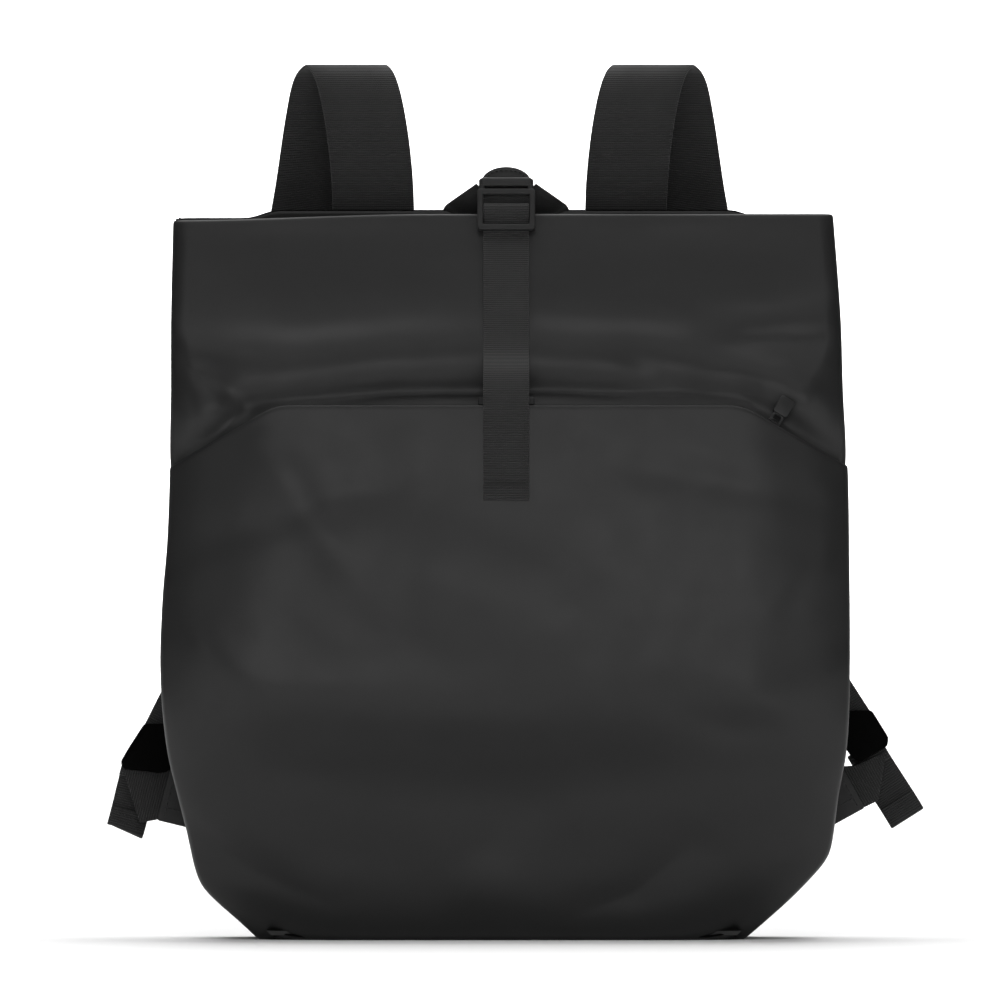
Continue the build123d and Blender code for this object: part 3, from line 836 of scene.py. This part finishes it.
def make_closure():
    path = [on_slope(*p) for p in (
        (6.5, 1.6), (50, 2.0), (100, 1.6), (114, 1.5), (120.4, 1.7), (122.7, 4.2), (120.6, 6.6), (116.5, 6.3),
        (110.0, 3.9), (104.6, 3.3))]
    ribbon("closure_webbing", path, (1, 0, 0), CLOSURE_WIDTH, "closure", ["closure_strap"], spacing=1.0)
    make_hook_buckle()
    tail_top, tail_foot = on_slope(104.0, 3.3), Vector((CLOSURE_X, -70.6, 241.4))
    tail = [tail_top, on_slope(90, 4.8), on_slope(60, 5.6), on_slope(32, 7.4)]
    tail += [Vector((CLOSURE_X, y, z)) for y, z in ((-54.2, 309), (-61.6, 294), (-66.2, 270))] + [tail_foot]
    ribbon("closure_tail_webbing", tail, (1, 0, 0), CLOSURE_WIDTH, "closure_end", ["closure_tail"])
    away = (tail[-1] - tail[-2]).normalized()
    out = Vector((0, away.z, -away.y)).normalized()
    hem_top = tail_foot - away * 7.0
    turned = [tail_foot + out * 1.0 - away * 0.2, tail_foot - away * 3.5 + out * 1.5, hem_top + out * 1.4]
    ribbon("closure_tail_turn", turned, (1, 0, 0), CLOSURE_WIDTH, "closure_end", ["closure_tail_hem"],
           spacing=0.8)
    lip = [tail_foot + out * 1.6 + away * 0.3, tail_foot + away * 1.1 + out * 0.5,
           tail_foot + away * 0.2 - out * 0.6]
    ribbon("closure_tail_fold", lip, (1, 0, 0), CLOSURE_WIDTH, "closure_end", thickness=0.9, spacing=0.3)
    seam = [hem_top + away * 1.6 + out * 2.3 + Vector((x, 0, 0)) for x in (-11.4, 0, 11.4)]
    stitch_row("closure_tail_seam", seam, out, "closure_end", 2.4, 1.8, 0.24)
    outline = rounded(15.4, 2.4, 1.0, centre=(0.0, 4.0))
    plate("closure_anchor_patch", outline, (0.0, 2.0), slope_place, "bag", "leather", ["closure_anchor"])


def make_hook_buckle():
    def metal(name, outline, depth, bevel=0.5):
        plate(name, outline, depth, slope_place, "closure", "buckle_metal", (), bevel)

    low, high = 106.4, 131.4
    middle, half_up = (low + high) / 2, (high - low) / 2
    outer = rounded(15.9, half_up, 1.8, centre=(0.0, middle))
    inner = rounded(12.75, half_up - 3.2, 1.0, centre=(0.0, middle + 0.1))
    nodes = ["hook_buckle"]
    ring_plate("buckle_frame", outer, inner, (4.3, 7.2), slope_place, "closure", "buckle_metal", nodes, 0.7)
    metal("buckle_crossbar", rounded(14.6, 1.25, 0.7, centre=(0.0, 119.4)), (3.0, 5.2))
    for name, side in SIDES:
        metal(f"hook_ear_{name}", rounded(1.2, 2.6, 0.6, centre=(side * 13.0, 132.6)), (4.3, 6.7), 0.6)
        metal(f"crossbar_root_{name}", rounded(1.6, 1.6, 0.8, centre=(side * 14.0, 119.4)), (3.2, 6.6))
    metal("hook_bar", rounded(14.2, 2.6, 1.4, centre=(0.0, 135.9)), (3.9, 7.3), 1.3)
    metal("hook_tongue", rounded(10.8, 0.9, 0.5, centre=(0.0, 137.2)), (-1.6, 4.6), 0.4)
    metal("hook_lip", rounded(10.8, 1.3, 0.6, centre=(0.0, 136.0)), (-1.7, -0.4), 0.4)


# --- Carrying handle ----------------------------------------------------------------------------
# An arm from the sleeve to the back, as (x outward, y, z), and the directions that its width runs in.
ARM_PATH = [(11.0, 14.6, 408.6), (18.0, 18.5, 403.8), (25.0, 25.0, 398.6), (27.0, 33.8, 396.4),
            (28.6, 34.6, 388), (29.2, 34.0, 376)]
ARM_WAYS = [(0.6, -0.5, 0.7), (0.6, -0.5, 0.7), (0.65, -0.4, 0.65), (0.9, -0.2, 0.35), (1, 0, 0.1), (1, 0, 0)]


def make_handle():
    """A leather sleeve with a slit for the hook, a webbing loop under it and two webbing arms to the back, which
    wear the darker binding cloth as painted shade.
    """
    half, slit_half, low, slit_low, slit_high, dome_foot, rise = 15.0, 11.4, 130.8, 135.9, 138.6, 139.4, 7.2
    crown = [(half * 0.86 * math.cos(a), dome_foot + rise * math.sin(a) ** 1.2)
             for a in (math.pi * k / 18 for k in range(1, 18))]
    brow = half * 0.93
    parts = {
        "lower": [(half, low), (half, slit_low), (-half, slit_low), (-half, low)],
        "upper": [(half, slit_high), (brow, dome_foot), *crown, (-brow, dome_foot), (-half, slit_high)],
        "left": [(-half, slit_low), (-half, slit_high), (-slit_half, slit_high), (-slit_half, slit_low)],
        "right": [(half, slit_low), (half, slit_high), (slit_half, slit_high), (slit_half, slit_low)],
    }
    for layer, depth in (("front", (2.2, 3.6)), ("back", (0.6, 2.0))):
        for part, outline in parts.items():
            nodes = ["handle_sleeve"] if (layer, part) == ("front", "upper") else ()
            plate(f"handle_sleeve_{layer}_{part}", outline, depth, slope_place, "bag", "leather", nodes, 0.3)
    seam = [slope_place(10.2 * math.cos(a), dome_foot + 0.6 + 4.2 * math.sin(a), 3.7)
            for a in (math.pi * k / 10 for k in range(11))]
    stitch_row("handle_sleeve_seam", seam, SLOPE_OUT, "bag", 2.6, 1.9, 0.25)
    loop = [on_slope(up, 2.0) for up in (122.8, 127.0, 131.4)]
    ribbon("handle_loop_webbing", loop, (1, 0, 0), 25.4, "bag", (), "webbing", 1.6, 1.0)
    for name, side in SIDES:
        path = [(side * x + CLOSURE_X * smooth(z, 380, 400), y, z) for x, y, z in ARM_PATH]
        ways = [(side * x, y, z) for x, y, z in ARM_WAYS]
        nodes = ["grab_handle"] if side < 0 else ()
        # The arms take the darker binding cloth instead of the webbing: painted shade for the deep shade that they
        # sit in under the hook.
        ribbon(f"handle_arm_{name}", path, ways, 17.0, "bag", nodes, "binding", 1.6, 1.0)


# --- Shoulder straps and what they are sewn to --------------------------------------------------
SHOULDER_WIDTH = 45.0
REAR_TILT = 0.235  # how far the rear legs' width tips as they spread, for each unit across
# Front leg, apex and rear leg, as (x outward, y, z).
SHOULDER_PATH = [(70.5, 34.0, 372), (70.8, 34.0, 396), (72, 34.8, 422), (75.5, 38, 450), (80.5, 45.5, 471.5),
                 (86, 56, 479.6), (92.5, 67.5, 473), (97, 74.5, 454), (104, 77.5, 412), (113, 73, 370),
                 (128, 61, 310), (142, 51, 250), (153, 45, 203), (160.5, 43, 172)]


def make_shoulders():
    for name, side in SIDES:
        shift = -1.0 if side < 0 else -3.8
        path = [(side * x + shift, y, z) for x, y, z in SHOULDER_PATH]
        level, half_tipped, tipped = ((1, 0, -side * tip) for tip in (0.0, 0.12, REAR_TILT))
        ways = [level] * 8 + [half_tipped] + [tipped] * 5
        ribbon(f"shoulder_webbing_{name}", path, ways, SHOULDER_WIDTH, "bag", [f"shoulder_strap_{name}"],
               thickness=2.0, sheared=True)
        end = Vector(path[-1])
        along = (end - Vector(path[-2])).normalized()
        across = Vector(tipped).normalized()
        for k, back in enumerate((2.5, 6.0)):
            seam = [end - along * back + across * a + Vector((0, 1.2, 0)) for a in (-20, 0, 20)]
            stitch_row(f"shoulder_end_seam_{name}_{k}", seam, (0, 1, 0), "bag", 2.8, 2.0, 0.3)
    make_yoke()


def make_yoke():
    """The leather patch across the back that holds the straps and the handle."""
    low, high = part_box("yoke")
    left, right, bottom, top = low.x / MM, high.x / MM, low.z / MM, high.z / MM

    def point(u, v):
        x, z = mix(left, right, u), mix(bottom, top, v)
        edge = min(x - left, right - x, z - bottom, top - z)
        over_strap = max(math.exp(-((abs(x) - 70.5) / 24) ** 6), math.exp(-((abs(x) - 29) / 9) ** 6))
        y = mix(33.4, 36.6, over_strap * smooth(edge, 0, 5)) + 0.2 * ripple(x, z, 18, 40.0)
        return Vector((x, y, z))

    sheet_of("yoke_skin", point, 110, 16, "bag", "leather", ["yoke"], 1.5, 1)
    inset = 3.0
    for name, z in (("upper", top - inset), ("lower", bottom + inset)):
        line = [point((x - left) / (right - left), (z - bottom) / (top - bottom)) + Vector((0, 0.9, 0))
                for x in range(int(left + 3), int(right - 2), 3)]
        stitch_row(f"yoke_seam_{name}", line, (0, 1, 0), "bag")


# --- Lower side tabs, adjusters and their free ends ---------------------------------------------
ADJUST_WIDTH = 21.0


class Adjuster:
    """Where one side's webbing folds over its lock, from the CAD's own pieces."""

    def __init__(self, side, fold, tilt, tail_length, tail_turn, tail_shift, tab, run, lock, link, link_tilt):
        angle, link_angle = math.radians(tilt), math.radians(link_tilt)
        self.side, self.tab, self.run, self.lock = side, tab, run, lock
        self.tail_length, self.tail_turn, self.tail_shift = tail_length, math.radians(tail_turn), tail_shift
        self.link = [(side * x, y, z) for x, z, y in link]
        self.link_way = (side * math.cos(link_angle), 0, math.sin(link_angle))
        self.bar = Vector((side * math.cos(angle), 0, math.sin(angle)))
        self.down = Vector((side * math.sin(angle), 0, -math.cos(angle)))
        self.middle = Vector((side * fold[0], 0, fold[1]))

    def at(self, along, lower, y):
        return self.middle + self.bar * along + self.down * lower + Vector((0, y, 0))

    def tail(self, along, lower, y):
        """Like at(), with the free end twisting a little as it hangs."""
        hang = smooth(lower, 0, self.tail_length)
        turn, shift = self.tail_turn * hang, self.tail_shift * hang
        return self.at(along * math.cos(turn) + shift, lower - along * math.sin(turn), y)

    def tail_bar(self, lower):
        turn = self.tail_turn * smooth(lower, 0, self.tail_length)
        return self.bar * math.cos(turn) - self.down * math.sin(turn)

    def flat(self, x, z, y):
        """A point by its distance out from the middle of the bag."""
        return Vector((self.side * x, y, z))


ADJUSTERS = {
    "left": Adjuster(-1, (199.6, 94.0), 16.0, 36.8, 10.0, -1.1,
                     tab=[(166, 100), (182.0, 97.4), (190.6, 64.0), (166, 58.0)],
                     run=[(181.5, 92.5), (189.2, 64.8), (200.2, 62.7), (209.6, 92.0), (186.8, 90.8)],
                     lock=[(175, 117), (198.0, 117), (206.4, 104.0), (211.0, 96.0), (209.6, 92.6),
                           (189, 90.2), (182.6, 92.0), (177, 98)],
                     link=[(197.6, 97.0, 35.2), (193.6, 103.0, 35.0), (189.9, 109.2, 35.2),
                           (178.8, 131.5, 37.5), (166, 157, 44.0), (158, 180, 47.2)], link_tilt=28.0),
    "right": Adjuster(1, (200.0, 100.5), 30.0, 41.6, 3.0, 1.5,
                      tab=[(166, 99), (184.6, 95.6), (198.4, 70.8), (166, 53.0)],
                      run=[(183.5, 93.6), (197.8, 71.0), (205.8, 74.9), (210.4, 101.5), (193.5, 94.0)],
                      lock=[(176, 124), (202.4, 124.4), (211.6, 109.4), (211.0, 104.8), (194.6, 95.8),
                            (191.2, 98.8), (187.4, 104.4), (183, 109)],
                      link=[(199.2, 108.0, 35.2), (195.2, 114.6, 35.0), (191.4, 120.5, 35.2),
                            (179.8, 138.8, 38.5), (167, 160, 45.4), (159.5, 178, 47.2)], link_tilt=32.0),
}


def corner_rounded(points, radius=1.2, steps=3):
    """A polygon with its corners rounded."""
    result = []
    for i, corner in enumerate(points):
        corner = Vector(corner)
        before, after = Vector(points[i - 1]), Vector(points[(i + 1) % len(points)])
        start = corner + (before - corner).normalized() * radius
        end = corner + (after - corner).normalized() * radius
        for k in range(steps + 1):
            t = k / steps
            result.append(tuple((start * (1 - t) + corner * t) * (1 - t) + (corner * (1 - t) + end * t) * t))
    return result


def patch(name, outline, y, slot, side, nodes=(), bow=0.0, across=None, along=None, fall=0.0):
    """An outline in the XZ plane as a fine sheet that bows forward, and comes forward by fall at its foot."""
    step = 1.1
    shape = bmesh.new()
    corners = [shape.verts.new((side * x, y, z)) for x, z in outline]
    shape.faces.new(corners)
    low_x, high_x = min(x for x, _ in outline), max(x for x, _ in outline)
    low_z, high_z = min(z for _, z in outline), max(z for _, z in outline)
    for axis, low, high in (((1, 0, 0), low_x, high_x), ((0, 0, 1), low_z, high_z)):
        cuts = int((high - low) / step)
        for k in range(1, cuts):
            place = mix(low, high, k / cuts)
            origin = Vector(axis) * place
            origin.x *= side
            bmesh.ops.bisect_plane(shape, geom=shape.verts[:] + shape.edges[:] + shape.faces[:],
                                   plane_co=origin, plane_no=axis)
    centre_x, centre_z = (low_x + high_x) / 2 * side, (low_z + high_z) / 2
    span = max(high_x - low_x, high_z - low_z) / 2
    for vertex in shape.verts:
        away = math.hypot(vertex.co.x - centre_x, vertex.co.z - centre_z) / span
        lower = (high_z - vertex.co.z) / (high_z - low_z)
        vertex.co.y -= bow * max(0.0, 1 - away**2) + fall * (0.75 * lower**1.2 + 0.25 * lower**6)
    shape.normal_update()
    vertices = [v.co.copy() for v in shape.verts]
    shape.verts.index_update()
    faces = [tuple(v.index for v in f.verts) for f in shape.faces]
    if side > 0:
        faces = [f[::-1] for f in faces]
    uvs = [(v.dot(Vector(across)), v.dot(Vector(along))) for v in vertices] if across else None
    shape.free()
    piece = make_piece(name, vertices, faces, "bag", slot, nodes, uvs)
    fix_normals(piece)
    return piece


def make_adjuster(name, adjuster):
    side, bar, at = adjuster.side, adjuster.bar, adjuster.at
    tab = corner_rounded(adjuster.tab, 1.0)
    for layer, y in (("front", 25.4), ("back", 28.7)):
        nodes = [f"side_tab_{name}"] if layer == "front" else ()
        skin = patch(f"side_tab_{layer}_{name}", tab, y, "leather", side, nodes, bow=0.5)
        round_edges(thicken(skin, 1.4, 0.0), 0.4, 2)
    edge_way = make_tab_seams(name, adjuster)
    away = Vector((-edge_way.z, 0, edge_way.x))
    run = patch(f"adjuster_run_{name}", corner_rounded(adjuster.run, 0.8), 27.2, "webbing", side,
                [f"adjuster_webbing_{name}"], bow=1.6, across=edge_way, along=away)
    thicken(run, WEBBING, 0.0)
    wrap = [at(0, 8, 29.0), at(0, 3, 29.4), at(0, -1.4, 29.2), at(0, -3.4, 31.4), at(0, -1.4, 34.5),
            at(0, 2, 34.7), at(0, 6.4, 34.6)]
    ribbon(f"adjuster_wrap_{name}", wrap, bar, ADJUST_WIDTH, "bag", spacing=0.8)
    # The smooth near-black cover fills the area where the webbing turns away into shade above the fold: partly a
    # lock cover, partly painted shade.
    cover = corner_rounded(adjuster.lock, 1.6, 4)
    lock = patch(f"ladder_lock_shade_cover_{name}", cover, 31.0, "buckle_plastic", side, bow=0.6, fall=7.0)
    round_edges(thicken(lock, 1.2, 0.0), 0.4, 3)
    outer, inner = rounded(8.4, 4.6, 1.4, centre=(0, -3.0)), rounded(6.4, 2.6, 0.8, centre=(0, -3.0))
    ring_plate(f"ladder_lock_frame_{name}", outer, inner, (30.4, 32.8), at, "bag", "buckle_plastic",
               [f"ladder_lock_{name}"], 0.6)
    bar_outline = rounded(7.6, 1.1, 0.6, centre=(0, -0.2))
    plate(f"ladder_lock_bar_{name}", bar_outline, (30.5, 32.7), at, "bag", "buckle_plastic")
    ribbon(f"strap_link_webbing_{name}", adjuster.link, adjuster.link_way, ADJUST_WIDTH, "bag",
           [f"strap_link_{name}"])
    make_free_end(name, adjuster)


def make_tab_seams(name, adjuster):
    """Stitches along the tab's outer edge and its foot. Returns the direction of the outer edge."""
    (_, outer_top, outer_foot, inner_foot) = adjuster.tab
    inward = (Vector(inner_foot) - Vector(outer_foot)).normalized()
    upward = (Vector(outer_top) - Vector(outer_foot)).normalized()
    corner = Vector(outer_foot) + inward * 3.0 + upward * 2.4
    edge_seam = [corner + upward * d for d in (0, 10, 20)]
    foot_seam = [corner + upward * 5.5 + inward * d for d in (0, 8, 16)]
    for row, line in (("edge", edge_seam), ("foot", foot_seam)):
        points = [adjuster.flat(*p, 24.3) for p in line]
        stitch_row(f"side_tab_seam_{row}_{name}", points, (0, -1, 0), "bag", 2.9, 2.0, 0.3)
    return Vector((adjuster.side * upward.x, 0, upward.y))


def make_free_end(name, adjuster):
    """The webbing tail with its hem folded over twice and sewn down."""
    at, body = adjuster.tail, f"tail_{name}"
    foot = adjuster.tail_length
    top = foot - 11.0
    half = (top + foot) / 2
    lowers = [7.0, 14.0, top, foot - 0.8]
    tail = [at(0, lower, 34.6) for lower in lowers]
    bars = [adjuster.tail_bar(lower) for lower in lowers]
    ribbon(f"free_end_{name}", tail, bars, ADJUST_WIDTH, body, [f"adjuster_tail_{name}"])
    bar = adjuster.tail_bar(foot)
    fold = [at(0, top, 32.9), at(0, half, 32.7), at(0, foot - 0.8, 32.9), at(0, foot, 33.7),
            at(0, foot - 0.6, 34.6)]
    ribbon(f"free_end_hem_{name}", fold, bar, ADJUST_WIDTH, body, [f"adjuster_tail_hem_{name}"], spacing=0.7)
    back_fold = [at(0, top, 36.2), at(0, half, 36.3), at(0, foot - 0.6, 36.0)]
    ribbon(f"free_end_back_fold_{name}", back_fold, bar, ADJUST_WIDTH, body, spacing=0.7)
    for k, lower in enumerate((top + 3.2, foot - 3.4)):
        seam = [at(a, lower, 32.0) for a in (-9, 0, 9)]
        stitch_row(f"free_end_seam_{name}_{k}", seam, (0, -1, 0), body, 2.3, 1.7, 0.26)


# --- Front pocket's zip -------------------------------------------------------------------------
def edge_line(inset, y_of, low=-166, high=166, step=2.0):
    """Points along the pocket's top edge, inset below it."""
    count = int((high - low) / step)
    places = [(x, pocket_edge(x) - inset) for x in (mix(low, high, k / count) for k in range(count + 1))]
    return [Vector((x, y_of(x, z), z)) for x, z in places]


def pocket_inner_y(x, z):
    return surface_y(lambda u: pocket_point(u, z), x) + LEATHER + 0.8


def body_outer_y(x, z):
    return surface_y(lambda u: body_point(u, z), x) - 0.9


def surface_y(point, x):
    """The y at which a section passes x, by halving."""
    low, high = (0.0, 0.98) if x >= 0 else (-0.98, 0.0)
    for _ in range(18):
        middle = (low + high) / 2
        if point(middle).x < x:
            low = middle
        else:
            high = middle
    return point((low + high) / 2).y


def coil(name, line, nodes):
    """Zip coil: a fine helix along the line."""
    radius, pitch, wire = 0.75, 1.5, 0.3
    smooth_line = spline(line, 0.25)
    rings = []
    run = 0.0
    for i in range(1, len(smooth_line) - 1):
        here = smooth_line[i]
        along = (smooth_line[i + 1] - smooth_line[i - 1]).normalized()
        side = along.cross(Vector((0, 1, 0))).normalized()
        up = side.cross(along)
        run += (here - smooth_line[i - 1]).length
        turn = math.tau * run / pitch
        out = side * math.cos(turn) + up * math.sin(turn)
        centre = here + out * radius
        rings.append([centre + (out * math.cos(a) + along * math.sin(a)) * wire for a in (0, 2.09, 4.19)])
    make_piece(name, *loft(rings), "bag", "zip_coil", nodes)


def make_zip():
    for name, y_of, toward in (("outer", pocket_inner_y, 1.3), ("inner", body_outer_y, -1.3)):
        upper, lower = edge_line(2.0, y_of), edge_line(11.0, y_of)
        last = len(upper) - 1

        def tape(u, v, upper=upper, lower=lower, last=last):
            k = min(round(u * last), last)
            return upper[k] * (1 - v) + lower[k] * v

        sheet_of(f"zip_tape_{name}", tape, last, 4, "bag", "zip_tape", [f"pocket_zip_tape_{name}"], 0.5, 0)
        line = [p + Vector((0, toward, 0)) for p in edge_line(4.6, y_of, -158, 158, 3.0)]
        coil(f"zip_teeth_{name}", line, [f"pocket_zip_coil_{name}"])
    make_slider()


SLANT = Vector((56, 0, -35)).normalized()
SLANT_UP = Vector((35, 0, 56)).normalized()


def make_slider():
    low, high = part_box("pocket_zip_slider")
    centre = (low + high) / 2 / MM

    def place(a, b, depth):
        return centre + SLANT * a + Vector((0, b, 0)) + SLANT_UP * depth

    def metal(name, outline, depth, bevel, nodes=()):
        plate(name, outline, depth, place, "slider", "zip_metal", nodes, bevel)

    one_side = [(-4.6, -2.6), (-3.4, -3.1), (2.6, -3.1), (4.4, -1.6)]
    wings = one_side + [(a, -b) for a, b in reversed(one_side)]
    metal("slider_top", wings, (1.6, 2.9), 0.35, ["pocket_zip_slider"])
    metal("slider_bottom", wings, (-4.2, -2.9), 0.35)
    metal("slider_keel", rounded(1.6, 1.1, 0.8), (-3.6, 2.2), 0.2)
    arch = [place(a, 0, d) for a, d in ((-3.2, 2.6), (-2.6, 4.2), (0, 5.0), (2.4, 4.2), (3.0, 2.6))]
    bridge = ribbon("slider_bridge", arch, (0, 1, 0), 2.2, "slider", (), "zip_metal", 0.9, 0.5)
    round_edges(bridge, 0.2, 2)
    make_puller()


def make_puller():
    joint = next(j for j in frame["joints"] if j["name"] == "puller_flip")
    pivot = Vector(joint["pos_m"]) / MM
    lean = (SLANT_UP * 0.96 + Vector((0, 0.28, 0))).normalized()
    thick = SLANT.cross(lean).normalized()

    def place(a, b, depth):
        return pivot + SLANT * a + lean * b + thick * depth

    outer, inner = rounded(3.4, 3.0, 1.2, centre=(0.0, 1.9)), rounded(2.1, 1.9, 0.9, centre=(0.0, 1.9))
    ring_plate("puller_loop", outer, inner, (-0.8, 0.8), place, "puller", "zip_metal", ["puller_bail"], 0.4)
    outline = rounded(4.3, 5.2, 1.4, centre=(0.0, 9.6))
    for layer, depth, nodes in (("front", (-1.9, -0.2), ["puller_tab"]), ("back", (0.2, 1.9), ())):
        plate(f"puller_leather_{layer}", outline, depth, place, "puller", "leather", nodes)
    seam = [place(a, b, -2.0) for a, b in ((-3.1, 5.6), (-3.1, 13.4), (3.1, 13.4), (3.1, 5.6))]
    for k, (a, b) in enumerate(zip(seam, seam[1:])):
        stitch_row(f"puller_seam_{k}", [a, (a + b) / 2, b], -thick, "puller", 1.9, 1.4, 0.18)


# --- Seams on the outside -----------------------------------------------------------------------
def tube(name, line, radius):
    """A round leather roll along a line on the bag."""
    points = spline(line, 3.0)
    turns = [math.tau * k / 8 for k in range(8)]
    rings = []
    for i, here in enumerate(points):
        along = (points[min(i + 1, len(points) - 1)] - points[max(i - 1, 0)]).normalized()
        side = along.cross(Vector((0, 1, 0))).normalized()
        up = side.cross(along)
        rings.append([here + (side * math.cos(a) + up * math.sin(a)) * radius for a in turns])
    make_piece(name, *loft(rings), "bag", "leather")


def make_seams():
    """Rolled seams down the back edges and a stitched line beside the pocket's side seams."""
    for name, side in SIDES:
        heights = [mix(3.0, FRONT_TOP - 2, k / 39) for k in range(40)]
        back = [Vector((side * (half_width(side, z, True) - 0.6), BACK_Y - 0.6, z)) for z in heights]
        tube(f"back_edge_roll_{name}", back, 1.5)
        heights = [mix(12.0, 250.0, k / 59) for k in range(60)]
        line = [pocket_point(side * 0.975, z) + Vector((side * 0.15, 0, 0)) for z in heights]
        stitch_row(f"pocket_side_seam_{name}", line, (side, 0, 0), "bag", 3.6, 2.6, 0.3)


# --- Studio -------------------------------------------------------------------------------------
def make_stage():
    """A pale floor that sweeps up far behind the bag, so that the bag can be seen from the back too."""
    near, bend, radius, top, half = -16000, 11800, 1500, 6000, 16000
    turns = [math.pi / 2 * k / 16 for k in range(1, 17)]
    sweep = [(bend + radius * math.sin(a), radius * (1 - math.cos(a))) for a in turns]
    rows = [(near, 0), (0, 0), (bend, 0), *sweep, (bend + radius, top)]
    vertices = [Vector((x, y, z)) * MM for y, z in rows for x in (-half, half)]
    faces = [(2 * i, 2 * i + 1, 2 * i + 3, 2 * i + 2) for i in range(len(rows) - 1)]
    mesh = bpy.data.meshes.new("stage")
    mesh.from_pydata(vertices, [], faces)
    for polygon in mesh.polygons:
        polygon.use_smooth = True
    stage = bpy.data.objects.new("stage", mesh)
    bpy.context.scene.collection.objects.link(stage)
    look = Look("stage", 0.9, 0.9, specular=0.0)
    look.tint(look.noise(3.0), 0.88, 0.92)
    mesh.materials.append(look.material)


def aim(thing, target):
    thing.rotation_mode = "QUATERNION"
    thing.rotation_quaternion = (Vector(target) - thing.location).to_track_quat("-Z", "Y")


def soft_light(name, place, target, size, power, spread=180.0):
    data = bpy.data.lights.new(name, "AREA")
    data.shape = "RECTANGLE"
    data.size, data.size_y = size
    data.energy = power
    data.spread = math.radians(spread)
    light = bpy.data.objects.new(name, data)
    bpy.context.scene.collection.objects.link(light)
    light.location = place
    aim(light, target)


def make_studio():
    """A narrow key high in front, soft sides, and washes that turn the floor and the sweep white."""
    make_stage()
    bag = (0, 0, 0.22)
    soft_light("overhead", (0.0, -1.1, 2.6), bag, (2.2, 1.4), 1.0)
    soft_light("front_key", (0.1, -4.2, 1.55), bag, (1.4, 0.7), 37)
    soft_light("left_front", (-2.6, -2.6, 0.9), bag, (0.9, 1.6), 9)
    soft_light("right_front", (2.6, -2.6, 0.9), bag, (0.9, 1.6), 11)
    soft_light("backdrop_wash", (0.0, 11.5, 2.6), (0, 13.6, 0.4), (4.0, 0.8), 160)
    soft_light("back_floor_wash", (0.0, 6.1, 3.2), (0, 6.101, 0), (3.0, 12.4), 480)
    soft_light("floor_wash", (0.0, -2.6, 3.0), (0, -1.6, 0), (4.0, 1.2), 36, 48.0)
    world = bpy.data.worlds.new("studio")
    world.use_nodes = True
    background = world.node_tree.nodes["Background"]
    background.inputs["Color"].default_value = (1, 1, 1, 1)
    background.inputs["Strength"].default_value = 0.1
    bpy.context.scene.world = world
    bpy.context.scene.view_settings.view_transform = "Standard"


def make_camera():
    """Level, straight on and from far away, as in a catalogue."""
    distance, width, left, height = 9.0, 0.545, -0.0022, 0.2402
    front_plane = -0.06  # where the picture is as wide as width
    data = bpy.data.cameras.new("camera")
    data.sensor_width = 36.0
    data.lens = data.sensor_width * distance / width
    data.clip_end = 100.0
    camera = bpy.data.objects.new("camera", data)
    bpy.context.scene.collection.objects.link(camera)
    camera.location = (left, front_plane - distance, height)
    aim(camera, (left, 0, height))
    bpy.context.scene.camera = camera


def dress_nodes():
    """Materials for the CAD nodes that stay."""
    slots = {part["node"]: part["material_slot"] for part in frame["record"]["subparts"]}
    for name, node in frame["nodes"].items():
        node.data.materials.clear()
        node.data.materials.append(MATERIALS[slots[name]])


def main():
    dress_nodes()
    make_body()
    make_pocket()
    make_closure()
    make_handle()
    make_shoulders()
    for name, adjuster in ADJUSTERS.items():
        make_adjuster(name, adjuster)
    make_zip()
    make_seams()
    make_studio()
    make_camera()


main()
